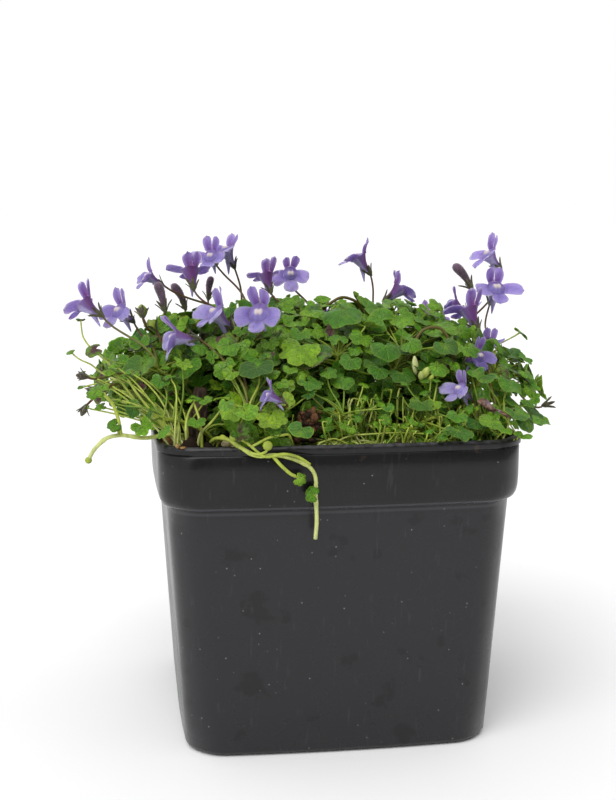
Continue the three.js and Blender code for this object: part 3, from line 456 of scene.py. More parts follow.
def flower_axes(turn, tilt):
    """Across to its right as it is looked at, its upper side, and the way it faces."""
    facing = way(turn, tilt)
    across = unit(np.cross(UP, facing))
    return across, np.cross(facing, across), facing


def new_leaf(start, base, heading, normal, **more):
    """Both ends of a leaf's stalk, and its axes: the heading laid square to the normal, and across it."""
    along = unit(heading - normal * (heading @ normal))
    return dict(start=start, base=base, along=along, across=np.cross(normal, along), normal=normal, **more)


class Flower:
    """A bloom, bud or seed head, with its own axes and the place of its calyx."""

    def __init__(self, place, turn, tilt, size, reach, capsule=0):
        """Its turn and tilt are in degrees, and its reach says how far it stands out from the calyx."""
        self.at = vec(*place)
        self.faced = turn, tilt
        self.axes = np.array(flower_axes(turn, tilt))
        self.size = size
        self.reach = reach
        self.capsule = capsule
        self.deep = 0
        self.root = None

    def settle(self, share, turn, tilt, moved, deep):
        """Scales, turns, tilts and moves it by what is given, and says how much painted shade darkens its
        colour.
        """
        self.at = self.at + moved
        self.axes = np.array(flower_axes(self.faced[0] + turn, self.faced[1] + tilt))
        self.size *= share
        self.deep = deep

    def put(self, local):
        """Points given as across, upper and forward distances, placed on the plant."""
        return self.at + self.size * (np.asarray(local, float) @ self.axes)


def plan_stems(room):
    """Stems on a square grid, each shifted by a draw. A stem rises straight from the soil and then leans
    outwards, to a tip that stays a set depth under the leaves' common surface."""
    stems = []
    for row in range(ROWS):
        for column in range(ROWS):
            key = row * ROWS + column
            x = (column - (ROWS - 1) / 2) * PITCH + ROOT_JITTER * spread(key, 1)
            y = (row - (ROWS - 1) / 2) * PITCH + ROOT_JITTER * spread(key, 2)
            soil = soil_height(x, y)
            tip_x = x * (LEAN_LEFT if x < 0 else LEAN_OTHERWISE)
            tip_y = y * (LEAN_FRONT if y < 0 else LEAN_OTHERWISE)
            top = canopy_height(tip_x, tip_y) - CANOPY_OVER_TIPS
            rise = max(8, top - soil) + 1.5 * spread(key, 3)
            tip = vec(tip_x, tip_y, soil + rise)
            bend = (
                vec(x, y, soil + 0.5),
                vec(x, y, soil + 0.55 * rise),
                vec(x + 0.5 * (tip_x - x), y + 0.5 * (tip_y - y), soil + 0.9 * rise),
                tip,
            )
            line = bezier(*bend, STEM_STEPS)
            room.add(along_line(line, 1), STEM_BALL, key)
            inner = 0 < row < ROWS - 1 and 0 < column < ROWS - 1
            stems.append(dict(
                key=key, foot=vec(x, y, soil - ROOT_DEPTH), bend=bend, line=line, leaves=[], stalks=[],
                leaf_count=LEAVES_INNER if inner else LEAVES_OUTER, x=x, y=y,
            ))
    return stems


def on_stem(stem, t):
    """The point at a share of the way up a stem."""
    line = stem["line"]
    place = t * (len(line) - 1)
    step = min(int(place), len(line) - 2)
    return line[step] + (line[step + 1] - line[step]) * (place - step)


def keep_room(flower, owner, room):
    """Balls along the flower's tube and, where it is open, two on each lobe, by its turn and length."""
    for z, radius in TUBE_BALLS:
        if z < flower.reach:
            room.add(flower.put((0, 0, z)), radius * flower.size, owner)
    if flower.reach < OPEN_REACH:
        return
    for turn, length in LOBE_ROOM:
        angle = math.radians(turn)
        for share in (0.3, 0.8):
            away = THROAT_RADIUS + share * length
            spot = flower.put((away * math.cos(angle), away * math.sin(angle), TUBE_LENGTH + 1))
            room.add(spot, LOBE_BALL * flower.size, owner)


def stalk_bend(start, flower, sway):
    """The flower stalk's bend from a stem up to a calyx, with a slight sway of its own."""
    end = flower.put((0, 0, 0))
    reach = np.linalg.norm(start - end)
    second = start + 0.35 * reach * UP + 0.5 * reach * sway
    third = end - 0.25 * reach * flower.axes[2] - 0.15 * reach * UP + 0.25 * reach * sway
    return start, second, third, end


def plan_stalk(stems, flower, owner, room):
    """Each stalk starts on the stem from which it is shortest and touches nothing on its way."""
    rise = SEED_STALK_RISE if flower.reach == SEED_REACH else STALK_RISE
    others = room.owners != owner
    best = None
    for stem in stems:
        for attempt in range(STALK_TRIES):
            start = on_stem(stem, 0.3 + 0.67 * draw(owner, stem["key"], attempt, 1))
            cost = np.linalg.norm(start - flower.at) + 5 * len(stem["stalks"])
            if flower.at[2] - start[2] < rise or (best is not None and cost >= best["cost"]):
                continue
            sway = vec(spread(owner, stem["key"], attempt, 2), spread(owner, stem["key"], attempt, 3), 0)
            sway *= STALK_SWAY + STALK_MORE_SWAY * attempt / STALK_TRIES
            bend = stalk_bend(start, flower, sway)
            path = along_line(bezier(*bend, (0, 0.35, 0.7, 1)), 1.2)
            tested = path[np.linalg.norm(path - start, axis=1) > ATTACH_FREE]
            if meets_pot(tested, STALK_BALL) or room.touches(tested, STALK_BALL, others):
                continue
            best = dict(stem=stem, bend=bend, path=path, cost=cost, sway=sway)
    room.add(best["path"], STALK_BALL, STALKS_OF + best["stem"]["key"])
    best["stem"]["stalks"].append(dict(bend=best["bend"], flower=flower, sway=best["sway"]))


def blade_points(leaf, spacing):
    """A blade as evenly spaced points over its kidney-shaped face."""
    size = leaf["size"]
    rows = rounded(size / spacing)
    parts = []
    for ring in range(rows + 1):
        share = ring / rows
        count = 1 if ring == 0 else rounded(math.radians(250) * share * size * 0.9 / spacing) + 1
        angle = np.radians(np.linspace(-117, 117, count)) if count > 1 else np.zeros(1)
        away = 0.95 * share * size
        lift = size * leaf["cup"] * share * share - LEAF_THICKNESS / 2
        parts.append(
            leaf["base"] + np.outer(away * np.cos(angle), leaf["along"])
            + np.outer(away * np.sin(angle), leaf["across"]) + lift * leaf["normal"]
        )
    return np.concatenate(parts)


def possible_leaf(stem, index, attempt):
    """A stalk up and aside, and a blade that faces up and outwards."""
    key = (stem["key"], index, attempt)
    start_low = 0.4 - 0.28 * min(1, (stem["x"] ** 2 + stem["y"] ** 2) / 1400)
    t = start_low + (0.97 - start_low) * (index + draw(*key, 1)) / stem["leaf_count"]
    start = on_stem(stem, t)
    turn = math.radians(LEAF_TURN * index + 360 * draw(stem["key"], 9) + 70 * spread(*key, 2))
    aside = vec(math.cos(turn), math.sin(turn), 0)
    outward = vec(start[0] / 55, start[1] / 50, 0)
    lift = 0.3 + 0.7 * draw(*key, 3) - 0.4 * np.linalg.norm(outward) * draw(*key, 11)
    rising = unit(lift * UP + 0.55 * outward + 0.9 * aside)
    base = start + rising * (LEAF_STALK_LEAST + LEAF_STALK_MORE * draw(*key, 4))
    loose = vec(spread(*key, 5), spread(*key, 6), 0.5 * spread(*key, 7))
    here = vec(base[0] / 58, base[1] / 52, 0)
    normal = unit(0.85 * UP + 0.6 * np.linalg.norm(here) * here + 0.38 * loose)
    heading = 0.7 * aside + 0.5 * outward + 0.4 * loose
    share = draw(*key, 8)
    size = (LEAF_LEAST + LEAF_MORE * share * share) * (1 - DIP_SHRINK * front_dip(base[0], base[1]))
    return new_leaf(start, base, heading, normal, rising=rising, size=size,
                    cup=-0.26 + 0.3 * draw(*key, 10), sway=spread(*key, 13))


def plan_leaves(stems, room):
    """Leaf by leaf, each stem takes the try that stands clearest near the common surface."""
    middles = []
    for index in range(LEAVES_OUTER):
        for stem in stems:
            if index >= stem["leaf_count"]:
                continue
            best = None
            for attempt in range(LEAF_TRIES):
                leaf = possible_leaf(stem, index, attempt)
                middle = leaf["base"] + 0.3 * leaf["size"] * leaf["along"]
                depth = canopy_height(middle[0], middle[1]) - middle[2]
                crowd = min([12, *np.linalg.norm(np.array(middles) - middle, axis=1)]) if middles else 12
                sunk = 1 if draw(stem["key"], index, 12) < 0.65 else 7
                score = crowd - 0.45 * abs(depth - sunk) - (4 if depth < -2 else 0)
                if leaf["rising"] @ leaf["normal"] < FACING_LEAST or (best and score <= best["score"]):
                    continue
                blade = blade_points(leaf, BLADE_SPACING)
                stalk = along_line(np.array([leaf["start"], leaf["base"]]), 1)
                stalk = stalk[np.linalg.norm(stalk - leaf["start"], axis=1) > ATTACH_FREE]
                if meets_pot(blade, BLADE_BALL) or meets_pot(stalk, STALK_BALL):
                    continue
                close = room.near(leaf["base"], 24)
                own = (room.owners == stem["key"]) | (room.owners == STALKS_OF + stem["key"])
                if room.touches(stalk, STALK_BALL, close & ~own) or room.touches(blade, BLADE_BALL, close):
                    continue
                best = dict(leaf=leaf, blade=blade, stalk=stalk, middle=middle, score=score)
            if best:
                stem["leaves"].append(best["leaf"])
                middles.append(best["middle"])
                room.add(best["blade"], BLADE_BALL, BLADES_OF + stem["key"])
                room.add(best["stalk"], STALK_BALL, STALKS_OF + stem["key"])


# Smaller leaves between the full-grown ones

CELL = 0.5
MAT_TRIES = 40000
MAT_MOST = 1650
MAT_SPACING = 0.62
INNER_SHARE = 0.3
OVERHANG_SLOPE = 0.6
OPEN_LEFT = (-27, -27, 96)
OPEN_MIDDLE = (-13, 31, -29, 89)
KNOT_SHARES = np.linspace(0.12, 0.95, 9)

# The full-grown leaves that stand low at the front, or far out at the right, have stayed small
SHY_RIGHT, SHY_FRONT, SHY_HIGH, SHY_OUT, SHY_SHARE = 25, -31, 93, 51, 0.48

# How far the small leaves keep from the lines along which the bark and the mound are seen
CLEARED_RADIUS = 2.8


class Thicket:
    """Half-millimetre cells, each true where something already grows."""

    def __init__(self):
        """All cells of a box round the foliage, none of them taken."""
        self.low = vec(-80, -75, 55)
        self.taken = np.zeros((320, 300, 150), bool)

    def cells(self, points):
        """The cells in which the points lie."""
        index = ((points - self.low) / CELL).astype(int)
        return tuple(np.clip(index, 0, np.array(self.taken.shape) - 1).T)

    def fill(self, points):
        """Takes the points' cells."""
        self.taken[self.cells(points)] = True

    def fill_balls(self, centres, radii):
        """Takes the cells within each ball."""
        step = np.arange(-2.5, 2.6, CELL)
        around = np.stack(np.meshgrid(step, step, step), axis=-1).reshape(-1, 3)
        for centre, radius in zip(centres, radii):
            self.fill(centre + around[(around ** 2).sum(axis=1) < radius * radius])

    def hits(self, points):
        """How many of the points lie in taken cells."""
        return int(self.taken[self.cells(points)].sum())


def stem_knots(stems):
    """The points up each stem from which a small leaf may grow."""
    return np.array([[on_stem(stem, t) for t in KNOT_SHARES] for stem in stems])


def nearest_stem(stems, knots, base, draw_here):
    """The point from which a leaf's stalk is short, a little up or down a stem by the draw given."""
    gaps = np.linalg.norm(knots - base, axis=2) + 4 * (knots[:, :, 2] > base[2] - 1)
    which, step = np.unravel_index(np.argmin(gaps), gaps.shape)
    share = min(0.98, max(0.06, KNOT_SHARES[step] + 0.26 * (draw_here - 0.5)))
    return on_stem(stems[which], share), stems[which]


def place_key_leaves(stems, knots, thicket):
    """Each goes to its place, or as little as it needs in front of it to be clear."""
    forward = unit(vec(-0.1, -1, 0.25))
    for number, (place, turn, tilt, size, age) in enumerate(KEY_LEAVES):
        heading = vec(spread(number, 81), -0.4 + 0.5 * spread(number, 82), -0.6)
        for step in range(16):
            base = vec(*place) + 0.5 * step * forward
            start, stem = nearest_stem(stems, knots, base, draw(number, 83))
            leaf = new_leaf(start, base, heading, way(turn, 90 - tilt), size=size, age=age, young=True,
                            cup=-0.35 + 0.5 * draw(number, 84), sway=spread(number, 85))
            leaf["base"] = base - 0.3 * size * leaf["along"]
            blade = blade_points(leaf, MAT_SPACING)
            if thicket.hits(blade) == 0:
                break
        thicket.fill(blade)
        thicket.fill(stalk_line(leaf, 24))
        stem["leaves"].append(leaf)


def plan_mat(stems, knots, thicket):
    """Tries spread over the mound, most of them close under its surface. A leaf is kept where its blade
    is clear of all that grows there. It faces along the surface's normal and somewhat to the front."""
    count = 0
    for _ in range(MAT_TRIES):
        x, y = rng.uniform(-SPREAD_LEFT, SPREAD_RIGHT), rng.uniform(-SPREAD_FRONT, SPREAD_BACK)
        deep, big, cup, turn, inner, kept = rng.random(6)
        loose = rng.normal(0, 0.37, 3)
        across, along = x / SPREAD_RIGHT, y / (SPREAD_FRONT if y < 0 else SPREAD_BACK)
        if count >= MAT_MOST or across ** 4 + along ** 2 > 0.97 or kept < 1.7 * front_dip(x, y):
            continue
        depth = 10 + 18 * deep if inner < INNER_SHARE else (9 if y > 25 else 13) * deep ** 1.5 - 0.6
        base = vec(x, y, canopy_height(x, y) - depth)
        over = max(abs(x), abs(y)) - RIM_HALF + 1.5
        if over > 0 and base[2] < POT_HEIGHT + 1.5 + OVERHANG_SLOPE * over:
            continue
        if x < OPEN_LEFT[0] and y < OPEN_LEFT[1] and base[2] < OPEN_LEFT[2] and kept < 0.9:
            continue
        left, right, front, high = OPEN_MIDDLE
        if left < x < right and y < front and base[2] < high and kept < 0.86:
            continue
        slope = vec(canopy_height(x - 1, y) - canopy_height(x + 1, y),
                    canopy_height(x, y - 1) - canopy_height(x, y + 1), 2)
        normal = unit(unit(slope) + vec(0.25 * across, -0.36 if y < 22 else 0.3, 0) + loose)
        heading = vec(math.cos(6.3 * turn), math.sin(6.3 * turn), 0) + (0.6 * across, 0.8 * along, -0.3)
        size = (2.3 + 2.9 * big ** 1.6) * (1 - 0.38 * front_dip(x, y)) * (1 if y < 30 else 1.1)
        start, stem = nearest_stem(stems, knots, base, cup)
        leaf = new_leaf(start, base, heading, normal, size=size, cup=-0.5 + 0.8 * cup, sway=2 * big - 1,
                        young=True)
        blade = blade_points(leaf, MAT_SPACING)
        if thicket.hits(blade) or meets_pot(blade, 0.25):
            continue
        stalk = stalk_line(leaf, 24)
        if thicket.hits(stalk[4:-2]) > 3:
            continue
        thicket.fill(blade)
        thicket.fill(stalk)
        stem["leaves"].append(leaf)
        count += 1


# Surfaces

class Skin:
    """Grids of points gathered into one mesh. Each grid is a shell; equal points in it are welded."""

    def __init__(self):
        """No shells yet."""
        self.points, self.shells, self.faces, self.uvs, self.tones, self.finishes = [], [], [], [], [], []
        self.count = 0

    def add(self, points, faces, uv, tone, finish):
        """points, uv and tone have one row for each vertex, and faces four columns."""
        self.points.append(points)
        self.shells.append(np.full(len(points), len(self.points)))
        self.faces.append(faces + self.count)
        self.uvs.append(uv)
        self.tones.append(tone)
        self.finishes.append(np.broadcast_to(finish, len(faces)))
        self.count += len(points)

    def grid(self, points, uv=None, tone=NEUTRAL, finish=0):
        """Quads between neighbours; they face along the step down the rows times the step across."""
        m, n, _ = points.shape
        uv = np.zeros((m, n, 2)) if uv is None else uv
        tone = np.broadcast_to(tone, (m, n, 4))
        self.add(points.reshape(-1, 3), quads(m, n), uv.reshape(-1, 2), tone.reshape(-1, 4), finish)

    def sheet(self, top, under, uv, tone, finish, under_finish):
        """The grid on top and its copy underneath, turned over. They meet along the far rim and both
        sides, and a strip closes the near rim where they don't."""
        m, n, _ = top.shape
        under = under.copy()
        under[-1], under[:, 0], under[:, -1] = top[-1], top[:, 0], top[:, -1]
        tone = np.broadcast_to(tone, (m, n, 4)).reshape(-1, 4)
        number = np.arange(m * n).reshape(m, n)
        rim = np.concatenate([number[0], number[1:, -1], number[-1, -2::-1], number[-2::-1, 0]])
        strip = np.stack([rim[:-1], rim[1:], rim[1:] + m * n, rim[:-1] + m * n], axis=1)
        faces = np.concatenate([quads(m, n), quads(m, n)[:, ::-1] + m * n, strip])
        sides = (m - 1) * (n - 1)
        finishes = np.concatenate([np.full(sides, finish), np.full(sides, under_finish),
                                   np.full(len(strip), finish)])
        points = np.concatenate([top.reshape(-1, 3), under.reshape(-1, 3)])
        uv = np.tile(uv.reshape(-1, 2), (2, 1))
        self.add(points, faces, uv, np.tile(tone, (2, 1)), finishes)


def quads(m, n):
    """The four corners of each cell of a grid of m by n points."""
    number = np.arange(m * n).reshape(m, n)
    return together(number[:-1, :-1], number[1:, :-1], number[1:, 1:], number[:-1, 1:]).reshape(-1, 4)


def build(name, skin, finishes, replaced=(), sharp=None):
    """Welds equal points of each shell, drops the corners that fall together, and makes the piece."""
    points = np.concatenate(skin.points)
    key = np.column_stack([np.round(points * 1e4).astype(np.int64), np.concatenate(skin.shells)])
    _, first, same = np.unique(key, axis=0, return_index=True, return_inverse=True)
    corners = np.concatenate(skin.faces)
    welded = same.reshape(-1)[corners]
    kept = welded != np.roll(welded, -1, axis=1)
    whole = kept.sum(axis=1) > 2
    corners, welded, kept = corners[whole], welded[whole], kept[whole]
    sizes = kept.sum(axis=1)
    used = corners[kept]
    mesh = bpy.data.meshes.new(name)
    mesh.vertices.add(len(first))
    mesh.vertices.foreach_set("co", (points[first] * MM).astype(np.float32).ravel())
    mesh.loops.add(len(used))
    mesh.loops.foreach_set("vertex_index", welded[kept].astype(np.int32))
    mesh.polygons.add(len(sizes))
    mesh.polygons.foreach_set("loop_start", np.concatenate([[0], np.cumsum(sizes)[:-1]]).astype(np.int32))
    mesh.polygons.foreach_set("material_index", np.concatenate(skin.finishes)[whole].astype(np.int32))
    mesh.polygons.foreach_set("use_smooth", np.ones(len(sizes), bool))
    mesh.update(calc_edges=True)
    uv_layer = mesh.uv_layers.new(name="surface")
    uv_layer.data.foreach_set("uv", np.concatenate(skin.uvs)[used].astype(np.float32).ravel())
    tone_layer = mesh.color_attributes.new("tone", "FLOAT_COLOR", "CORNER")
    tone_layer.data.foreach_set("color", np.concatenate(skin.tones)[used].astype(np.float32).ravel())
    if sharp is not None:
        mesh.set_sharp_from_angle(angle=math.radians(sharp))
    return dress(bpy.data.objects.new(name, mesh), finishes, replaced)


def dress(piece, finishes, replaced=()):
    """Puts the piece in the scene with its finishes, hangs it under the root, and hides the parts it stands
    for.
    """
    bpy.context.collection.objects.link(piece)
    for finish in finishes:
        piece.data.materials.append(finish)
    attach(piece, "root")
    if replaced:
        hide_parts(*replaced)
    return piece


def smooth(points, count, passes=3):
    """Evenly spaced points along a bent line, its corners rounded by averaging neighbours."""
    points = np.asarray(points, float)
    reach = np.concatenate([[0], np.cumsum(np.linalg.norm(np.diff(points, axis=0), axis=1))])
    wanted = np.linspace(0, reach[-1], count)
    line = np.stack([np.interp(wanted, reach, points[:, k]) for k in range(3)], axis=1)
    for _ in range(passes):
        line[1:-1] = (line[:-2] + 2 * line[1:-1] + line[2:]) / 4
    return line


def closed(line, rings):
    """The rings with the line's first and last point as rings of their own before and after them."""
    ends = np.broadcast_to(line[[0, -1], None, None], (2, 1, rings.shape[1], 3))
    return np.concatenate([ends[0], rings, ends[1]])


def tube(skin, line, radii, sides, tone=NEUTRAL, finish=0):
    """line + radius (side cos a + other sin a), with both ends drawn together to a point."""
    line = np.asarray(line, float)
    n = len(line)
    along = unit(np.gradient(line, axis=0))
    helper = np.eye(3)[np.argmin(np.abs(along).sum(axis=0))]
    side = unit(helper - along * (along @ helper)[:, None])
    other = np.cross(side, along)
    angle = np.linspace(0, 2 * math.pi, sides + 1)[None, :, None]
    ring = np.cos(angle) * side[:, None] + np.sin(angle) * other[:, None]
    radii = np.broadcast_to(radii, n)
    points = line[:, None] + radii[:, None, None] * ring
    points[:, -1] = points[:, 0]
    points = closed(line, points)
    length = np.concatenate([[0], np.cumsum(np.linalg.norm(np.diff(line, axis=0), axis=1))])
    length = np.concatenate([length[:1], length, length[-1:]])
    uv = together(np.linspace(0, 1, sides + 1)[None], length[:, None])
    tone = np.broadcast_to(tone, (n, 4))
    tone = np.concatenate([tone[:1], tone, tone[-1:]])[:, None]
    skin.grid(points, uv, tone, finish)


def normals_of(points):
    """Unit vectors square to a grid; an end row that shrinks to a point takes its neighbour's."""
    normal = unit(np.cross(np.gradient(points, axis=0), np.gradient(points, axis=1)))
    normal[0], normal[-1] = normal[1], normal[-2]
    return normal


# Leaves

LOBE_TURNS = np.radians((-104, -52, 0, 52, 104))
NOTCH_TURNS = np.radians((-146, -78, -26, 26, 78, 146))
LOBE_REACH = (0.86, 1, 1.03, 1, 0.86)
NOTCH_REACH = (0.56, 0.79, 0.87, 0.87, 0.79, 0.56)
FINE_LEAF = 0.34
LEAF_STALK_SWELL = np.array([1.35, 1.05, 1, 0.95, 0.9, 0.9, 1, 1.15])


def leaf_blade(skin, leaf, tone, steps, rings, seed):
    """A point at share s and turn a lies at s r(a) from the stalk. Between a lobe's tip and its notch
    r falls from the tip's reach to the notch's with the power p of the share of the turn. The lift is
    cup s^2, plus a valley over each vein, a fold along the middle and a slow wave round the rim."""
    wild = np.random.default_rng(seed)
    depth, power, fold, wave, phase, skew = wild.random(6)
    turns, reach, vein = [], [], []
    for k, middle in enumerate(LOBE_TURNS):
        for notch, near in ((k, False), (k + 1, True)):
            share = np.linspace(0, 1, steps, endpoint=False)
            off = share if near else 1 - share
            tip = LOBE_REACH[k] * (1 + 0.06 * math.sin(9 * phase + 2.3 * k))
            low = NOTCH_REACH[notch] - 0.2 * (depth - 0.5)
            turns.append(middle + off * (NOTCH_TURNS[notch] - middle))
            reach.append(tip - (tip - low) * off ** (1.8 + 1.1 * power))
            vein.append(np.full(steps, middle))
    turns = np.append(np.concatenate(turns), NOTCH_TURNS[-1])
    reach = np.append(np.concatenate(reach), NOTCH_REACH[-1] - 0.2 * (depth - 0.5))
    vein = np.append(np.concatenate(vein), LOBE_TURNS[-1])
    share = np.linspace(0, 1, rings + 1)[:, None] ** 0.85
    away = share * reach
    x, y = away * np.cos(turns), away * np.sin(turns)
    off_vein = np.abs(np.sin(turns - vein))
    lift = leaf["cup"] * share ** 2 + 0.2 * away * off_vein * (1 - 0.5 * share)
    lift = lift + 0.22 * (fold - 0.35) * np.abs(y) + 0.14 * wave * share ** 2 * np.sin(3 * turns + 7 * phase)
    lift = lift + 0.12 * (skew - 0.5) * x * np.abs(x)
    size = leaf["size"]
    top = (leaf["base"] + size * (x[..., None] * leaf["along"] + y[..., None] * leaf["across"]
                                  + lift[..., None] * leaf["normal"]))
    uv = size * together(away * np.cos(turns - vein), away * off_vein)
    skin.sheet(top, top - FINE_LEAF * leaf["normal"], uv, together(*tone, share), UPPER, UNDER)


def stalk_line(leaf, count):
    """A young leaf's stalk rises from the stem and turns to meet the blade from below; a full-grown
    leaf's is nearly straight."""
    start, end = leaf["start"], leaf["base"] - 0.2 * leaf["normal"]
    length = np.linalg.norm(end - start)
    loose = length * (0.3 if "young" in leaf else 0.08)
    second = start + 0.35 * (end - start) + loose * (0.8 * UP + 0.4 * leaf["across"] * leaf["sway"])
    third = start + 0.75 * (end - start) + loose * (0.5 * leaf["across"] * leaf["sway"] - leaf["normal"])
    return bezier(start, second, third, end, np.linspace(0, 1, count))


def stalk_tone(pale, red):
    """How pale and how red a stalk is."""
    return together(pale, red, 0, 0)


def leaf_stalk(skin, leaf, pale):
    """A thin stalk from the stem to under the blade, a little thicker for a bigger leaf."""
    line = stalk_line(leaf, len(LEAF_STALK_SWELL))
    tube(skin, line, (0.17 + 0.022 * leaf["size"]) * LEAF_STALK_SWELL, 6, stalk_tone(pale, 0.1), STALK)


def leaf_tone(leaf, seed):
    """Age from dark green to yellow green, purple in a few leaves, and a lightness of its own. A leaf deep
    under the others is darkened as painted shade; one at the front left is lighter, partly young growth and
    partly painted light.
    """
    x, y, z = leaf["base"]
    # Depth under the leaves' common surface, which darkens a leaf as painted shade
    deep = np.clip((canopy_height(x, y) - z) / 12, 0, 1)
    age = 0.42 + 0.2 * spread(seed, 21) + (0.22 if "young" in leaf else 0)
    # Lighter and yellower at the front left: partly young growth, partly painted light
    age += 0.16 * math.exp(-((x + 20) / 22) ** 2 - ((y + 40) / 14) ** 2)
    age += 0.25 * (draw(seed, 24) > 0.93) - 0.3 * (draw(seed, 25) > 0.88)
    age = leaf.get("age", age)
    purple = 0.02 + 0.22 * draw(seed, 22) ** 2 + (0.6 if draw(seed, 22) > 0.91 else 0)
    return float(np.clip(age - 0.12 * deep, 0, 1)), purple, draw(seed, 23)


# Flowers

def sepal(skin, flower, turn, key):
    """A narrow blade. Its half width is w sin(pi (0.22 + 0.78 s))^0.8 at share s of its length, and it
    spreads outwards as s^1.25."""
    s = np.linspace(0, 1, 7)[:, None]
    a = np.linspace(-1, 1, 5)[None, :]
    turn = math.radians(turn + 9 * spread(key, 31))
    away = 0.62 + (1.75 + 0.5 * spread(key, 32)) * s ** 1.25
    forward = 0.15 + SEPAL_LENGTH * s - 0.5 * s ** 2
    half = SEPAL_HALF * np.sin(math.pi * np.clip(0.22 + 0.78 * s, 0, 1)) ** 0.8
    x = away * math.cos(turn) - a * half * math.sin(turn)
    y = away * math.sin(turn) + a * half * math.cos(turn)
    z = forward + 0.25 * half * a ** 2
    top = flower.put(together(x, y, z))
    under = top - SEPAL_THICKNESS * flower.size * normals_of(top)
    tone = calyx_tone(0.5 + 0.4 * draw(key, 33), s)
    skin.sheet(top, under, together(a * half, 3 * s), tone, SEPAL, SEPAL)


def calyx_tone(brown, share):
    """How brown a calyx is, and the share of the way to its tip, where that shows most."""
    return together(0, brown, 0, share)


def flower_stalk(skin, stalk, key):
    """The bend from stem to calyx, greenish at its foot and red brown above, and the calyx."""
    flower = stalk["flower"]
    shares = np.linspace(0, 1, 22)
    line = bezier(*stalk["bend"], shares)
    length = np.linalg.norm(np.diff(line, axis=0), axis=1).sum()
    wobble = 0.012 * length * np.sin(math.pi * shares)[:, None]
    line = line + wobble * together(np.sin(7 * shares + key), np.cos(6 * shares + 2 * key), 0)
    red = np.clip(0.5 + 0.5 * shares + 0.2 * spread(key, 41), 0, 1)
    tone = stalk_tone(0.45 - 0.2 * shares, red)
    if flower.capsule > 0:
        tube(skin, line, 0.32, 7, tone, STALK)
        pod = smooth([flower.put((0, 0, z * flower.capsule)) for z in (0, 0.8, 1.7, 2.6)], 12, 0)
        share = np.linspace(0, 1, 12)
        bulge = flower.capsule * np.sin(math.pi * (0.08 + 0.9 * share)) ** 0.75
        tube(skin, pod, bulge, 12, stalk_tone(0.55, 0.12), STALK)
    else:
        tube(skin, line, np.linspace(0.36, 0.27, 22), 7, tone, STALK)
        cup = smooth([flower.put((0, 0, z)) for z in (-0.75, 0, 0.5, 1.1)], 8, 1)
        swell = np.array((0.3, 0.42, 0.58, 0.72, 0.8, 0.82, 0.8, 0.7))
        tube(skin, cup, flower.size * swell, 10, calyx_tone(0.6, 0.2), SEPAL)
    for k, turn in enumerate(SEPAL_ANGLES):
        sepal(skin, flower, turn, key * 5 + k)


def petal_lobe(skin, flower, petal, key):
    """At share s of its length and a across, a lobe's point is its middle line's point plus a w(s)
    sideways. w grows from the throat's arc to the full half width and closes as an ellipse. The middle
    line leaves as steeply as the tube flares, eases to the lobe's own rise, droops sideways as s^2 and
    curls back at its end. A crease runs along it, and waves grow towards the edge."""
    s = np.linspace(0, 1, 11)[:, None]
    a = np.linspace(-1, 1, 9)[None, :]
    start, end = math.radians(petal["start"]), math.radians(petal["end"])
    middle = (start + end) / 2
    length, ear = petal["length"] * (1 + 0.15 * spread(key, 51)), petal["ear"]
    widest = 0.68 if ear else 0.6
    foot = LIMB_RADIUS * math.sin((end - start) / 2)
    full = petal["width"] / 2 * (1 + 0.12 * spread(key, 52))
    grow = foot + (full - foot) * np.sin(math.pi / 2 * np.clip(s / widest, 0, 1)) ** 1.2
    close = np.sqrt(np.clip(1 - ((s - widest) / (1 - widest)) ** 2, 0, 1)) ** 0.85
    half = np.where(s < widest, grow, full * close)
    curl = 0.5 + 0.5 * draw(key, 53)
    lean = petal["rise"] + 13 * spread(key, 55)
    rise = np.radians(lean + (64 - lean) * np.exp(-s / 0.22) - petal["curl"] * curl * s ** 2)
    step = length / 10
    out = step * np.concatenate([[[0]], np.cumsum(np.cos(rise[:-1]), axis=0)])
    forward = step * np.concatenate([[[0]], np.cumsum(np.sin(rise[:-1]), axis=0)])
    out = out - LIMB_RADIUS * (1 - np.cos(a * (end - start) / 2)) * (1 - s) ** 2
    forward = forward - 0.2 * half * a ** 2 * np.sin(math.pi * np.clip(s, 0, 0.9))
    forward = forward + 0.3 * np.sin(3.4 * a + 5 * s + key) * s - 0.16 * np.exp(-(a / 0.3) ** 2) * (1 - s)
    aside = a * half + length * (petal["droop"] + 0.1 * spread(key, 57)) * s ** 2
    x = (LIMB_RADIUS + out) * math.cos(middle) - aside * math.sin(middle)
    y = (LIMB_RADIUS + out) * math.sin(middle) + aside * math.cos(middle)
    top = flower.put(together(x, y, TUBE_LENGTH + forward))
    under = top - PETAL_THICKNESS * flower.size * normals_of(top)
    s, a = np.broadcast_arrays(s, a)
    stripe = np.maximum(np.exp(-(x / 1.5) ** 2) * (1 - s), np.exp(-(a / 0.6) ** 2) * (1 - 0.65 * s))
    streak = stripe if ear else 0.3 * np.exp(-(s / 0.2) ** 2)
    # flower.deep takes off lightness as painted shade for a bloom that sits in shade among the leaves
    pale = 0.34 + 0.33 * s + 0.17 * np.abs(a) + 0.12 * spread(key, 54) - flower.deep
    cream = 0 * s if ear else 0.3 * np.exp(-(s / 0.12) ** 2) * (1 - a ** 2)
    uv = together(a * (0.4 + 0.6 * s) * petal["width"], s * length)
    skin.sheet(top, under, uv, together(streak, cream, pale, s), UPPER, UNDER)


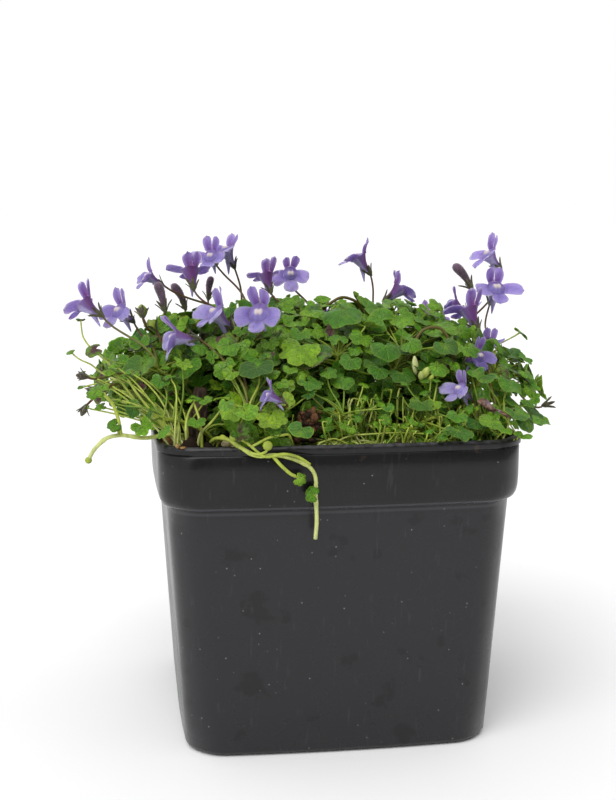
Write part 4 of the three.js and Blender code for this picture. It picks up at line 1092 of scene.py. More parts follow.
def corolla(skin, flower, key):
    """The tube widens as z^1.25 from its foot to the throat and is deepest below. It closes over the
    throat as a palate: two low bumps, each exp(-distance^2 / width), side by side under the upper lip."""
    turns = np.linspace(0, 2 * math.pi, 29)
    z = np.concatenate([[TUBE_FOOT], np.linspace(TUBE_FOOT, TUBE_LENGTH, 12)])[:, None]
    share = (z - TUBE_FOOT) / (TUBE_LENGTH - TUBE_FOOT)
    radius = TUBE_FOOT_RADIUS + (LIMB_RADIUS - TUBE_FOOT_RADIUS) * share ** 1.25
    radius[0] = 0
    belly = -0.3 * np.sin(math.pi * share)
    x = radius * np.cos(turns)
    y = radius * np.sin(turns) * (1 - 0.1 * np.sin(math.pi * share)) + belly
    tube_part = together(x, y, z)
    inward = np.array((0.97, 0.85, 0.7, 0.52, 0.35, 0.17, 0))[:, None]
    x, y = LIMB_RADIUS * inward * np.cos(turns), LIMB_RADIUS * inward * np.sin(turns)
    bumps = sum(np.exp(-((x - side) ** 2 / 0.34 + (y + 0.1) ** 2 / 1.0)) for side in (-0.56, 0.56))
    swell = 0.3 + 1.1 * bumps - 0.5 * (y > 0) * inward ** 2
    palate = together(x, y, TUBE_LENGTH + swell * (1 - inward ** 5))
    local = np.concatenate([tube_part, palate])
    local[:, -1] = local[:, 0]
    back = np.exp(-(local[..., 0] / 2.7) ** 2) * np.clip(0.8 + local[..., 1], 0, 1)
    streak = np.concatenate([back[:13] * np.clip(0.5 + share * 1.5, 0.5, 1),
                             0.3 * np.exp(-(x / 0.3) ** 2) + 0.5 * (y > 0.6)])
    cream = np.concatenate([0 * back[:13], np.clip(1.25 * bumps - 0.42, 0, 1)])
    pale = np.concatenate([0.6 + 0.35 * (y[0] < 0) + 0 * back[:13], 0.36 + 0.4 * (1 - inward) + 0 * bumps])
    # flower.deep takes off lightness as painted shade for a bloom that sits in shade among the leaves
    tone = together(streak, cream, pale - flower.deep, 0)
    uv = together(turns * 1.6, local[..., 2])
    sides = np.repeat((UPPER, UNDER), (7 * 28, 12 * 28))
    skin.grid(flower.put(local)[::-1], uv[::-1], tone[::-1], sides)
    spur = smooth(flower.put(((0, -0.9, 3.1), (0, -1.5, 1.6), (0, -2.2, 0.3), (0, -2.8, -0.9))), 12)
    taper = np.array((0.75, 0.8, 0.78, 0.72, 0.65, 0.58, 0.5, 0.43, 0.37, 0.31, 0.24, 0.12))
    tube(skin, spur, flower.size * taper, 12, (0.05, 0.06, 0.85, 0), UPPER)
    for k, petal in enumerate(LOBES):
        petal_lobe(skin, flower, petal, key * 7 + k)


def bud(skin, flower, key):
    """A club: its radius grows from the calyx to a blunt round end, its line bends a little."""
    share = np.linspace(0, 1, 20)
    bend = 0.5 * np.sin(math.pi * share)
    line = flower.put(together(bend * spread(key, 61), bend, 0.4 + BUD_LENGTH * share))
    radii = flower.size * BUD_RADIUS * (0.3 + 0.7 * share ** 0.9) * np.sqrt(np.clip(1 - share ** 7, 0.02, 1))
    tube(skin, line, radii, 14, together(0.2, 0, 0, share))
    hairs(skin, line, radii, key)


def hairs(skin, line, radii, key):
    """Fine tapering spikes that stand out from a bud at places drawn over its length and girth. Each
    has three sides, and its foot lies just under the bud's skin."""
    wild = np.random.default_rng(key)
    count = BUD_HAIRS
    where = wild.uniform(0.06, 0.99, count) * (len(line) - 1)
    index = np.arange(len(line))
    foot = np.stack([np.interp(where, index, line[:, k]) for k in range(3)], axis=1)
    radius = np.interp(where, index, radii)
    along = unit(line[-1] - line[0])
    aside = wild.normal(size=(count, 3))
    aside = unit(aside - (aside @ along)[:, None] * along)
    lean = unit(aside + 0.5 * along * wild.uniform(-0.2, 1, (count, 1)))
    foot = foot + aside * radius[:, None] * 0.95
    tips = foot + lean * HAIR_LENGTH * wild.uniform(0.5, 1, (count, 1))
    side = HAIR_HALF * unit(np.cross(lean, along))
    corners = np.stack([foot + side, foot + along * HAIR_HALF * 1.5, foot - side, tips], axis=1)
    faces = np.array([[0, 1, 3, 3], [1, 2, 3, 3], [2, 0, 3, 3], [2, 1, 0, 0]])
    faces = (faces[None] + 4 * np.arange(count)[:, None, None]).reshape(-1, 4)
    tone = np.broadcast_to((0.9, 0, 0, 1), (4 * count, 4))
    skin.add(corners.reshape(-1, 3), faces, np.zeros((4 * count, 2)), tone, 0)


# Colours and materials

# The settings that a kind of node has unless told otherwise, and the ways to work with numbers
USUAL = {"Mix": dict(data_type="RGBA"), "MapRange": dict(interpolation_type="SMOOTHSTEP")}
TIMES, LESS, MOST = dict(operation="MULTIPLY"), dict(operation="SUBTRACT"), dict(operation="MAXIMUM")
TIMES_PLUS = dict(operation="MULTIPLY_ADD")


def linear(text):
    """#rrggbb as linear red, green and blue, with full alpha."""
    parts = [int(text[k:k + 2], 16) / 255 for k in (1, 3, 5)]
    return (*[c / 12.92 if c <= 0.04045 else ((c + 0.055) / 1.055) ** 2.4 for c in parts], 1)


def fill(made, inputs):
    """Links each socket given to a node's input, and sets each number, row of numbers or #rrggbb."""
    for key, value in inputs.items():
        if isinstance(value, bpy.types.NodeSocket):
            made.id_data.links.new(value, made.inputs[key])
        else:
            made.inputs[key].default_value = linear(value) if isinstance(value, str) else value


def node(tree, kind, *inputs, stops=(), **named):
    """Adds a shader node with its settings and links, and gives its first output in use. Its inputs in
    use are given in their order, or by their names, and its settings by names in small letters."""
    made = tree.nodes.new("ShaderNode" + kind)
    named = {**USUAL.get(kind, {}), **named}
    for name in [name for name in named if name.islower()]:
        setattr(made, name, named.pop(name))
    while stops and len(made.color_ramp.elements) < len(stops):
        made.color_ramp.elements.new(0.5)
    for number, (place, colour) in enumerate(stops):
        made.color_ramp.elements[number].position = place
        made.color_ramp.elements[number].color = linear(colour)
    in_use = [number for number, socket in enumerate(made.inputs) if socket.enabled]
    fill(made, {**dict(zip(in_use, inputs)), **named})
    return next(socket for socket in made.outputs if socket.enabled)


def start_material(name):
    """A new material, what adds nodes to it, and the piece's own coordinates in metres."""
    material = bpy.data.materials.new(name)
    material.use_nodes = True
    add = functools.partial(node, material.node_tree)
    return material, add, add("TexCoord").node.outputs["Object"]


def finished(material, roughness, colour, bumps=None, **inputs):
    """Gives the material's shader its colour, its bumps and its constants. Light goes into the surface
    as far as the subsurface radii say, in millimetres."""
    inputs = {key.replace("_", " "): value for key, value in inputs.items()}
    if bumps is not None:
        inputs["Normal"] = bumps
    shader = material.node_tree.nodes["Principled BSDF"]
    fill(shader, {"Base Color": colour, "Roughness": roughness, "Subsurface Scale": MM, **inputs})
    return material


def of_size(size):
    """The scale of a pattern over coordinates in metres whose marks measure size millimetres."""
    return 1 / (size * MM)


def blotches(add, place, size, detail, low, high):
    """Marks of a size in millimetres: noise that is 0 below low, 1 above high and smooth between."""
    return add("MapRange", add("TexNoise", place, of_size(size), detail), low, high)


def tinted(add, colour, mask, strength, tint):
    """The colour with a tint laid over it where the mask is high, up to the strength given."""
    return add("Mix", add("Math", mask, strength, **TIMES), colour, tint)


def tones(add):
    """The piece's own tone: three numbers and a fourth in the alpha."""
    source = add("Attribute", attribute_name="tone").node.outputs
    return *add("SeparateColor", source["Color"]).node.outputs, source["Alpha"]


def surface(add):
    """The surface's own two coordinates, in millimetres."""
    return add("SeparateXYZ", add("UVMap", uv_map="surface")).node.outputs[:2]


def leaf_face():
    """Live leaf, upper face: a waxy skin with soft highlights over grainy green, with paler veins and
    a painted highlight along its rim. Some light passes through it and comes out greener."""
    material, add, place = start_material("toadflax_leaf_upper")
    age, purple, light, share = tones(add)
    green = add("ValToRGB", age, stops=(
        (0, "#133c0a"), (0.3, "#285e0a"), (0.55, "#457f0d"), (0.8, "#6f9f13"), (1, "#9cba22")))
    patch = blotches(add, place, 2.38, 4, 0.35, 0.7)
    green = add("Mix", patch, add("Mix", 0.42, green, "#14380a"), green)
    green = tinted(add, green, light, 0.22, "#6c961a")
    broad = blotches(add, place, 5.26, 3, 0.5, 0.68)
    green = tinted(add, green, broad, 0.3, "#8aae2a")
    grain = add("TexNoise", place, of_size(0.588), 3)
    dots = add("MapRange", grain, 0.48, 0.64)
    green = tinted(add, green, dots, 0.42, "#153c09")
    along, off = surface(add)
    main = add("MapRange", off, 0.03, 0.2, 1, 0)
    slanted = add("Math", along, add("Math", off, 1.1, **TIMES), **LESS)
    branch = add("MapRange", add("Math", slanted, 0.62, operation="PINGPONG"), 0, 0.14, 0.4, 0)
    veins = add("Math", main, branch, **MOST)
    green = tinted(add, green, veins, 0.24, "#8db040")
    # Painted highlight: the rim of every leaf is made paler yellow green, as if light caught it there
    painted_rim_highlight = add("MapRange", share, 0.88, 1)
    green = tinted(add, green, painted_rim_highlight, 0.16, "#9fbf36")
    rim = add("Math", add("MapRange", share, 0.72, 1), purple, **TIMES)
    stain = blotches(add, place, 3.85, 2, 0.42, 0.66)
    stain = add("Math", stain, add("MapRange", purple, 0.3, 0.8), **TIMES)
    colour = add("Mix", add("Math", rim, stain, **MOST), green, "#4a2a30")
    rough = add("Math", add("TexNoise", place, of_size(1.11), 2), 0.3, 0.26, **TIMES_PLUS)
    grains = add("Bump", Height=grain, Distance=0.14 * MM, Strength=0.9)
    sunk = add("Bump", Height=add("Math", 1, veins, **LESS), Distance=0.2 * MM, Strength=0.9, Normal=grains)
    return finished(material, rough, colour, sunk, Specular_IOR_Level=0.3,
                    Subsurface_Weight=0.3, Subsurface_Radius=(0.35, 0.8, 0.06))


def leaf_back():
    """Live leaf, under face: duller and paler, flushed purple brown where the leaf is."""
    material, add, place = start_material("toadflax_leaf_under")
    age, purple, _, _ = tones(add)
    green = add("Mix", age, "#40661a", "#7a9c2c")
    flush = add("Math", add("TexNoise", place, of_size(3.33), 3), 0.5, -0.1, **TIMES_PLUS)
    flush = add("Math", flush, add("Math", purple, 0.7, **TIMES), use_clamp=True)
    colour = add("Mix", flush, green, "#5c3a38")
    _, off = surface(add)
    vein = add("MapRange", off, 0.05, 0.24, 1, 0)
    colour = tinted(add, colour, vein, 0.5, "#8fa265")
    raised = add("Bump", Height=vein, Distance=0.15 * MM, Strength=0.7)
    return finished(material, 0.6, colour, raised, Specular_IOR_Level=0.2,
                    Subsurface_Weight=0.35, Subsurface_Radius=(0.35, 0.8, 0.1))


def green_stalk():
    """Juicy stem skin: smooth and a little glossy, from green to near white, reddened where it says."""
    material, add, place = start_material("toadflax_stem")
    pale, red, _, _ = tones(add)
    green = add("ValToRGB", pale, stops=((0, "#3c5e12"), (0.4, "#76942a"), (0.75, "#b0be4c"), (1, "#d4d89a")))
    drawn_out = add("Mapping", place, Scale=(1, 1, 0.25))
    streak = add("TexNoise", drawn_out, of_size(1.43), 3)
    dull = add("Mix", 0.35, green, "#4c661e")
    green = add("Mix", add("MapRange", streak, 0.4, 0.65), green, dull)
    colour = add("Mix", red, green, "#552c1d")
    ribs = add("Bump", Height=streak, Distance=0.06 * MM, Strength=0.5)
    return finished(material, 0.42, colour, ribs, Specular_IOR_Level=0.35,
                    Subsurface_Weight=0.25, Subsurface_Radius=(0.5, 0.6, 0.15))


def calyx_skin():
    """Hairy sepal: dull dark green, browner towards the tip."""
    material, add, place = start_material("toadflax_sepal")
    _, brown, _, share = tones(add)
    brown = add("Math", add("Math", share, 0.35, use_clamp=True), brown, **TIMES)
    colour = add("Mix", brown, "#474c22", "#2e1a20")
    hairy = blotches(add, place, 0.667, 2, 0.45, 0.7)
    colour = add("Mix", hairy, colour, "#5a5636")
    rough = add("Bump", Height=add("TexNoise", place, of_size(0.4), 2), Distance=0.1 * MM, Strength=0.6)
    return finished(material, 0.7, colour, rough, Sheen_Weight=0.3,
                    Subsurface_Weight=0.1, Subsurface_Radius=(0.2, 0.2, 0.1))


def petal_skin(name, streak_strength):
    """Petal: thin and velvety, lavender with finer violet lines along it, so thin that light comes
    through it. The back of the upper lip has a magenta streak, and the palate is cream and yellow."""
    material, add, place = start_material(name)
    streak, cream, pale, _ = tones(add)
    across, along = surface(add)
    colour = add("ValToRGB", pale, stops=(
        (0, "#4e4082"), (0.35, "#7467a6"), (0.65, "#9388c0"), (1, "#b7afd8")))
    fine = add("CombineXYZ", add("Math", across, 1.5, **TIMES), add("Math", along, 0.5, **TIMES))
    lines = add("MapRange", add("TexNoise", fine, 1 / 0.625, 3), 0.5, 0.68)
    colour = tinted(add, colour, lines, 0.4, "#5d4590")
    cloud = blotches(add, place, 2, 2, 0.4, 0.7)
    colour = add("Mix", cloud, colour, add("Mix", 0.2, colour, "#a395d0"))
    colour = tinted(add, colour, streak, streak_strength, "#5e2666")
    for low, high, strength, tint in ((0.05, 0.6, 0.85, "#d8cdc0"), (0.7, 1, 0.6, "#d0bb74")):
        colour = tinted(add, colour, add("MapRange", cream, low, high), strength, tint)
    ribs = add("Bump", Height=lines, Distance=0.06 * MM, Strength=0.5)
    return finished(material, 0.6, colour, ribs, Specular_IOR_Level=0.3, Sheen_Weight=0.12,
                    Sheen_Tint="#b0a4dc", Subsurface_Weight=0.75, Subsurface_Radius=(0.95, 0.75, 1.05))


def bud_skin():
    """Closed bud: dark purple brown with grey hairs, greyer where the light catches them."""
    material, add, place = start_material("toadflax_bud")
    hair, _, _, share = tones(add)
    blotch = add("TexNoise", add("Mapping", place, Scale=(1, 1, 0.4)), of_size(1.25), 3)
    colour = add("Mix", add("MapRange", blotch, 0.35, 0.7), "#33202f", "#563a52")
    colour = add("Mix", add("MapRange", share, 0.7, 1), colour, "#6a5068")
    colour = add("Mix", add("MapRange", hair, 0.6, 0.9), colour, "#7d7270")
    rough = add("Bump", Height=add("TexNoise", place, of_size(0.5), 3), Distance=0.12 * MM, Strength=0.6)
    return finished(material, 0.75, colour, rough, Sheen_Weight=0.5,
                    Subsurface_Weight=0.1, Subsurface_Radius=(0.3, 0.2, 0.2))


def withered_petal():
    """Dried petal: papery, creased along its length, brown with some violet left in it."""
    material, add, place = start_material("withered_petal")
    crease = add("TexNoise", add("Mapping", place, Scale=(0.4, 1, 1)), of_size(0.667), 4)
    colour = add("Mix", add("MapRange", crease, 0.35, 0.65), "#3f2c26", "#86695a")
    left = blotches(add, place, 2, 2, 0.55, 0.72)
    colour = add("Mix", left, colour, "#9a8794")
    creased = add("Bump", Height=crease, Distance=0.15 * MM, Strength=0.8)
    return finished(material, 0.8, colour, creased, Specular_IOR_Level=0.2)


def peat():
    """Moist peat compost: nearly black crumbs and brown fibres, all matt."""
    material, add, place = start_material("peat_compost")
    coarse, fine = add("TexNoise", place, of_size(3.85), 5), add("TexNoise", place, of_size(0.714), 4)
    colour = add("Mix", add("MapRange", coarse, 0.38, 0.66), "#0f0b08", "#2f2218")
    colour = add("Mix", add("MapRange", fine, 0.55, 0.75), colour, "#4f3d2a")
    lumpy = add("Bump", Height=coarse, Distance=1.4 * MM, Strength=1)
    crumbly = add("Bump", Height=fine, Distance=0.4 * MM, Strength=1, Normal=lumpy)
    return finished(material, 0.95, colour, crumbly, Specular_IOR_Level=0.2)


def crumb():
    """Loose bits of compost, bark and root: each its own brown, a few tan, rusty or cream."""
    material, add, place = start_material("compost_crumb")
    colour = add("ValToRGB", tones(add)[0], stops=(
        (0, "#1c140e"), (0.35, "#3c2a1c"), (0.6, "#6b4a30"), (0.8, "#a07c48"), (1, "#e0d3a8")))
    pits = blotches(add, place, 0.769, 4, 0.45, 0.7)
    colour = add("Mix", pits, colour, add("Mix", 0.5, colour, "#1a130e"))
    rough = add("Bump", Height=add("TexNoise", place, of_size(0.556), 3), Distance=0.3 * MM, Strength=0.8)
    return finished(material, 0.92, colour, rough, Specular_IOR_Level=0.2)


def moss_green():
    """Moss: tiny translucent leaves, yellow green at the tip."""
    material, add, place = start_material("moss")
    light, _, _, share = tones(add)
    colour = add("Mix", share, "#35591c", "#86ab35")
    colour = tinted(add, colour, light, 0.5, "#b4bf57")
    rough = add("Bump", Height=add("TexNoise", place, of_size(0.4), 2), Distance=0.05 * MM, Strength=1)
    return finished(material, 0.6, colour, rough, Subsurface_Weight=0.2,
                    Subsurface_Radius=(0.2, 0.4, 0.1))


def bark():
    """Conifer bark chip: grey brown and fissured along its length."""
    material, add, place = start_material("conifer_bark")
    grain = add("TexNoise", add("Mapping", place, Scale=(1, 1, 0.22)), of_size(1.11), 5)
    colour = add("Mix", add("MapRange", grain, 0.35, 0.65), "#352820", "#7a6455")
    flake = blotches(add, place, 1.43, 2, 0.6, 0.75)
    colour = add("Mix", flake, colour, "#968474")
    fissured = add("Bump", Height=grain, Distance=0.8 * MM, Strength=1)
    return finished(material, 0.9, colour, fissured, Specular_IOR_Level=0.25)


def pot_plastic():
    """Black polypropylene, thermoformed: a satin skin with faint drawing marks, a chalky worn lip that is
    partly a painted highlight, white specks, hairline scratches, damp blotches and smears of dried soil near
    the rim, painted highlight lines at the collar's foot and a painted reflection of the floor under the
    collar."""
    material, add, place = start_material("black_polypropylene")
    height = add("SeparateXYZ", place).node.outputs[2]
    clouds = add("TexNoise", add("Mapping", place, Scale=(1, 1, 0.6)), of_size(22.2), 5)
    colour = add("Mix", add("MapRange", clouds, 0.35, 0.7), "#060608", "#0f0f11")
    # Painted reflection of the floor: the body below the collar is made lighter grey
    painted_floor_reflection = add("MapRange", height, 0.066, 0.061)
    colour = add("Mix", painted_floor_reflection, colour, "#1e1e21")
    damp = blotches(add, place, 7.69, 3, 0.6, 0.66)
    colour = tinted(add, colour, damp, 0.5, "#060607")
    scratch = add("TexNoise", add("Mapping", place, Scale=(1, 1, 0.12)), of_size(0.909), 3)
    scratch = add("MapRange", scratch, 0.62, 0.76)
    colour = tinted(add, colour, scratch, 0.05, "#85858a")
    # Chalky wear along the lip's top edge, lighter grey: partly real wear, partly a painted highlight where
    # the edge catches the light
    lip = add("MapRange", height, 0.0788, 0.0799)
    lip_wear_and_highlight = blotches(add, place, 1.43, 4, 0.35, 0.65)
    lip_wear_and_highlight = add("Math", lip, lip_wear_and_highlight, **TIMES)
    colour = tinted(add, colour, lip_wear_and_highlight, 0.2, "#77757a")
    # Painted highlights: two thin lighter lines at the collar's foot, where its step catches the light
    for level, strength in ((0.0644, 0.35), (0.0631, 0.16)):
        off = add("Math", add("Math", height, level, **LESS), operation="ABSOLUTE")
        painted_step_highlight = add("MapRange", off, 0.0002, 0.0005, strength, 0, interpolation_type="LINEAR")
        colour = add("Mix", painted_step_highlight, colour, "#6a6a70")
    soil = blotches(add, place, 2.38, 4, 0.62, 0.72)
    soil = add("Math", add("MapRange", height, 0.072, 0.081), soil, **TIMES)
    colour = tinted(add, colour, soil, 0.55, "#4b3a2c")
    cell = add("TexVoronoi", place, Scale=of_size(2.08), Randomness=1)
    lone = add("MapRange", add("SeparateColor", cell.node.outputs["Color"]), 0.7, 0.76)
    speck = add("Math", add("MapRange", cell, 0.03, 0.12, 1, 0), lone, **TIMES)
    colour = tinted(add, colour, speck, 0.5, "#a8a8a4")
    rough = add("Math", add("TexNoise", place, of_size(8.33), 4), 0.16, 0.2, **TIMES_PLUS)
    rough = add("Math", rough, add("Math", lip_wear_and_highlight, 0.2, **TIMES))
    skin = add("Bump", Height=add("TexNoise", place, of_size(2), 3), Distance=0.05 * MM, Strength=0.6)
    marks = add("TexNoise", add("Mapping", place, Scale=(0.25, 0.25, 4)), of_size(7.14), 2)
    drawn = add("Bump", Height=marks, Distance=0.12 * MM, Strength=0.35, Normal=skin)
    return finished(material, rough, colour, drawn, Specular_IOR_Level=0.38)


LEAF = (leaf_face(), leaf_back(), green_stalk(), calyx_skin())
PETAL = (petal_skin("toadflax_petal_face", 0.55), petal_skin("toadflax_petal_back", 0.95))
BUD = (bud_skin(),)
WITHERED_PETAL = withered_petal()
PEAT, CRUMB, MOSS, BARK, PLASTIC = peat(), crumb(), moss_green(), bark(), pot_plastic()


# Pot

def square_ring(half, z):
    """Once round a square with rounded corners whose sides bow outwards by 1 - (place / half)^2."""
    arc = np.radians(np.linspace(0, 90, CORNER_STEPS + 1))
    centre = half - CORNER_RADIUS
    side = np.linspace(0, centre, SIDE_STEPS, endpoint=False)
    x = np.concatenate([np.full(SIDE_STEPS, half), centre + CORNER_RADIUS * np.cos(arc), side[:0:-1]])
    y = np.concatenate([side, centre + CORNER_RADIUS * np.sin(arc), np.full(SIDE_STEPS - 1, half)])
    away, along = np.maximum(x, y), np.minimum(x, y)
    bowed = 1 + WALL_BOW * (1 - (along / half) ** 2) * (away / half) / half
    x, y = np.where(x > y, x * bowed, x), np.where(x > y, y, y * bowed)
    quarters = ((x, y), (-y, x), (-x, -y), (y, -x), (x[:1], y[:1]))
    ring = np.concatenate([together(*quarter) for quarter in quarters])
    return together(*ring.T, float(z))


def make_pot():
    """The wall's section, up its outside and down its inside, is carried round a square. Each row has a
    height and a half width, and the pairs that are added to them. Flutes of depth cos(2 pi y / pitch)
    run down the two side faces under the collar."""
    rows = (
        (0, 0, (0, 0.02), (0, 20), (0, 34)),
        (0, BASE_HALF, (0, -1), (0.3, -0.3), (1.1, 0.05), (12, 0.8), (24, 1.5), (36, 2.25), (48, 3),
         (58, 3.65)),
        (COLLAR_FOOT, NECK_HALF, (-0.35, 0), (0, 0.25), (0.25, 0.75), (0.8, 1.25), (1.9, 1.7), (3.4, 1.95)),
        (COLLAR_FOOT, RIM_HALF, (5.5, -0.35)),
        (0, RIM_HALF, (73, -0.32)),
        (POT_HEIGHT, RIM_HALF, (-2.7, -0.3), (-2.3, -0.5), (-1.8, 0), (-0.9, 0), (-0.3, -0.15),
         (-0.05, -0.5), (0, -0.9)),
        (POT_HEIGHT, MOUTH_INSIDE, (-0.15, 0.25), (-0.7, 0)),
        (SOIL_LEVEL, MOUTH_INSIDE, (0, -0.2)),
        (COLLAR_FOOT, NECK_INSIDE, (0, 0)),
        (30, NECK_INSIDE, (0, -2.2)),
        (FLOOR_THICKNESS, BASE_INSIDE, (1.5, 0), (0, -1.2)),
        (FLOOR_THICKNESS, 0, (0, 20), (0, 0.02)),
    )
    section = [(level + up, half + out) for level, half, *pairs in rows for up, out in pairs]
    least = CORNER_RADIUS + 1
    rings = []
    for number, (z, half) in enumerate(section):
        ring = square_ring(max(half, least), z)
        if half < least:
            ring[:, :2] = 0
        fluted = number < 11 and z > FLOOR_THICKNESS
        depth = FLUTE_DEPTH * np.sin(math.pi * np.clip((z - 3) / 58, 0, 1)) ** 0.3 if fluted else 0
        flutes = np.cos(ring[:, 1] * 2 * math.pi / FLUTE_PITCH) * (np.abs(ring[:, 1]) < FLUTED_HALF)
        ring[:, 0] += np.sign(ring[:, 0]) * depth * flutes * (np.abs(ring[:, 0]) > FLUTED_HALF)
        ring[-1] = ring[0]
        rings.append(ring)
    skin = Skin()
    skin.grid(np.array(rings)[:, ::-1])
    pot = build("nursery_pot", skin, (PLASTIC,), ("pot",), sharp=50)
    cutters = Skin()
    for x in (-DRAIN_OFFSET, DRAIN_OFFSET):
        for y in (-DRAIN_OFFSET, DRAIN_OFFSET):
            tube(cutters, [(x, y, -1), (x, y, 1), (x, y, 3)], DRAIN_RADIUS, 32)
    cutter = build("drain_cutter", cutters, (PLASTIC,))
    cut = pot.modifiers.new("drains", "BOOLEAN")
    cut.operation, cut.solver, cut.object = "DIFFERENCE", "EXACT", cutter
    drained = bpy.data.meshes.new_from_object(pot.evaluated_get(bpy.context.evaluated_depsgraph_get()))
    pot.modifiers.clear()
    pot.data = drained
    bpy.data.objects.remove(cutter)


# Soil and what lies on it

def make_soil():
    """Rings that shrink to the middle, the soil's height plus fine crumbly waves."""
    def inside_half(z):
        """The half width inside the wall, straight from floor to collar and from collar to rim."""
        inside = (BASE_INSIDE, NECK_INSIDE, MOUTH_INSIDE)
        return np.interp(z, (FLOOR_THICKNESS, COLLAR_FOOT, POT_HEIGHT), inside)
    rings = [square_ring(20, FLOOR_THICKNESS + SOIL_GAP) * (0, 0, 1)]
    rings += [square_ring(inside_half(z) - SOIL_GAP, z)
              for z in (FLOOR_THICKNESS + SOIL_GAP, COLLAR_FOOT, SOIL_LEVEL - 2.5)]
    top = square_ring(inside_half(SOIL_LEVEL) - SOIL_GAP, SOIL_LEVEL)
    for share in np.linspace(1, 0, 48):
        ring = top * (share, share, 1)
        x, y = ring[:, 0], ring[:, 1]
        crumbs = 0.3 * np.sin(1.9 * x + 1.1 * y) * np.sin(2.3 * y - 0.7 * x)
        crumbs = crumbs + 0.2 * np.sin(4.1 * x - 1.3) * np.cos(3.7 * y + 0.9 * x)
        ring[:, 2] = soil_height(x, y) + crumbs * min(1, 4 * (1 - share))
        rings.append(ring)
    skin = Skin()
    skin.grid(np.array(rings)[:, ::-1])
    build("potting_soil", skin, (PEAT,), ("soil",))


def lumps(skin, centres, sizes, kinds, seed):
    """Each lump is a sphere whose radius is changed by three sines in different directions."""
    wild = np.random.default_rng(seed)
    polar = np.linspace(0, math.pi, 6)[:, None]
    turn = np.linspace(0, 2 * math.pi, 8)[None]
    ball = together(np.sin(polar) * np.cos(turn), np.sin(polar) * np.sin(turn), np.cos(polar))
    ball[:, -1] = ball[:, 0]
    ball[0], ball[-1] = ball[0, :1], ball[-1, :1]
    for centre, size, kind in zip(centres, sizes, kinds):
        waves = wild.normal(size=(3, 3)) * 2.2
        radius = 1 + 0.22 * np.sin(ball @ waves.T + wild.uniform(0, 6, 3)).sum(axis=-1, keepdims=True) / 1.5
        stretch = wild.uniform(0.6, 1.4, 3) * (1, 1, 0.75)
        skin.grid(centre + size * ball * radius * stretch, tone=(kind, 0, wild.random(), 0))


def make_crumbs():
    """Bits drawn over the front of the soil, some listed one by one, and a mound of them along a sloping
    line.
    """
    wild = np.random.default_rng(SEED + 1)
    skin = Skin()
    x, y = wild.uniform(-SOWN_HALF, SOWN_HALF, (2, CRUMBS))
    spots = together(x, y, soil_height(x, y))
    front = spots[:, 1] < 5
    kinds = np.clip(wild.normal(0.28, 0.18, len(spots)), 0, 0.75)
    lumps(skin, spots[front] + (0, 0, 0.25), wild.uniform(0.35, 1.3, front.sum()), kinds[front], SEED + 2)
    special = (
        ((-41.6, -33, 79.6), 1.9, 0.72), ((-40.2, -35.6, 79), 1.2, 0.5), ((-28.6, -39.2, 79.6), 1.25, 0.97),
        ((-27.2, -40.4, 78.6), 0.8, 0.93), ((-40.6, -43.4, 80.2), 0.75, 0.82),
        ((-39.4, -44.2, 79.9), 0.6, 0.8), ((-37, -37, 78.4), 2.2, 0.1), ((-33, -38.5, 78.4), 1.8, 0.05),
        ((-38.5, -40.5, 78.2), 1.5, 0.12),
        ((-29.5, -36, 78.2), 1.8, 0.15), ((-10.5, -36, 80.6), 2.3, 0.3), ((-7.8, -35, 80.9), 1.6, 0.25),
        ((13, -40, 78.6), 1.4, 0.35), ((15.5, -39.5, 78.4), 1.1, 0.3), ((-44.3, -30, 80.1), 0.5, 0.3),
        ((-44.4, -20, 80.1), 0.4, 0.2),
    )
    lumps(skin, *[np.array(part) for part in zip(*special)], SEED + 3)
    foot, top = np.array(CLUMP)
    share = wild.random((CLUMP_LUMPS, 1))
    aside = wild.normal(0, 1, (CLUMP_LUMPS, 3)) * (2.4, 1, 0.4) * (1.2 - 0.8 * share)
    sizes, kinds = wild.uniform(0.5, 1.25, CLUMP_LUMPS), wild.uniform(0.1, 0.62, CLUMP_LUMPS)
    lumps(skin, foot + share * (top - foot) + aside, sizes, kinds, SEED + 7)
    build("compost_crumbs", skin, (CRUMB,))


def make_moss():
    """Short three-sided blades in tufts over the front of the soil."""
    wild = np.random.default_rng(SEED + 4)
    tufts = together(wild.uniform(-12, 40, MOSS_TUFTS), wild.uniform(-41, -24, MOSS_TUFTS))
    xy = np.repeat(tufts, MOSS_BLADES, axis=0) + wild.normal(0, 1.5, (MOSS_TUFTS * MOSS_BLADES, 2))
    xy = xy[np.abs(xy).max(axis=1) < SOWN_HALF + 0.5]
    count = len(xy)
    foot = np.column_stack([xy, soil_height(xy[:, 0], xy[:, 1]) - 0.1])
    lean = unit(np.column_stack([wild.normal(0, 0.55, (count, 2)), np.ones(count)]))
    tip = foot + lean * wild.uniform(1.1, 3.4, (count, 1))
    side = unit(np.cross(lean, wild.normal(size=(count, 3))))
    other = np.cross(lean, side)
    middle = foot + 0.55 * (tip - foot)
    corners = np.stack([foot, middle + 0.26 * side, middle - 0.14 * side + 0.22 * other,
                        middle - 0.14 * side - 0.22 * other, tip], axis=1)
    faces = np.array([[0, 2, 1, 1], [0, 3, 2, 2], [0, 1, 3, 3], [4, 1, 2, 2], [4, 2, 3, 3], [4, 3, 1, 1]])
    faces = (faces[None] + 5 * np.arange(count)[:, None, None]).reshape(-1, 4)
    tone = np.zeros((count, 5, 4))
    tone[..., 0] = wild.random((count, 1))
    tone[..., 3] = (0, 0.5, 0.5, 0.5, 1)
    skin = Skin()
    skin.add(corners.reshape(-1, 3), faces, np.zeros((5 * count, 2)), tone.reshape(-1, 4), 0)
    build("moss_tufts", skin, (MOSS,))


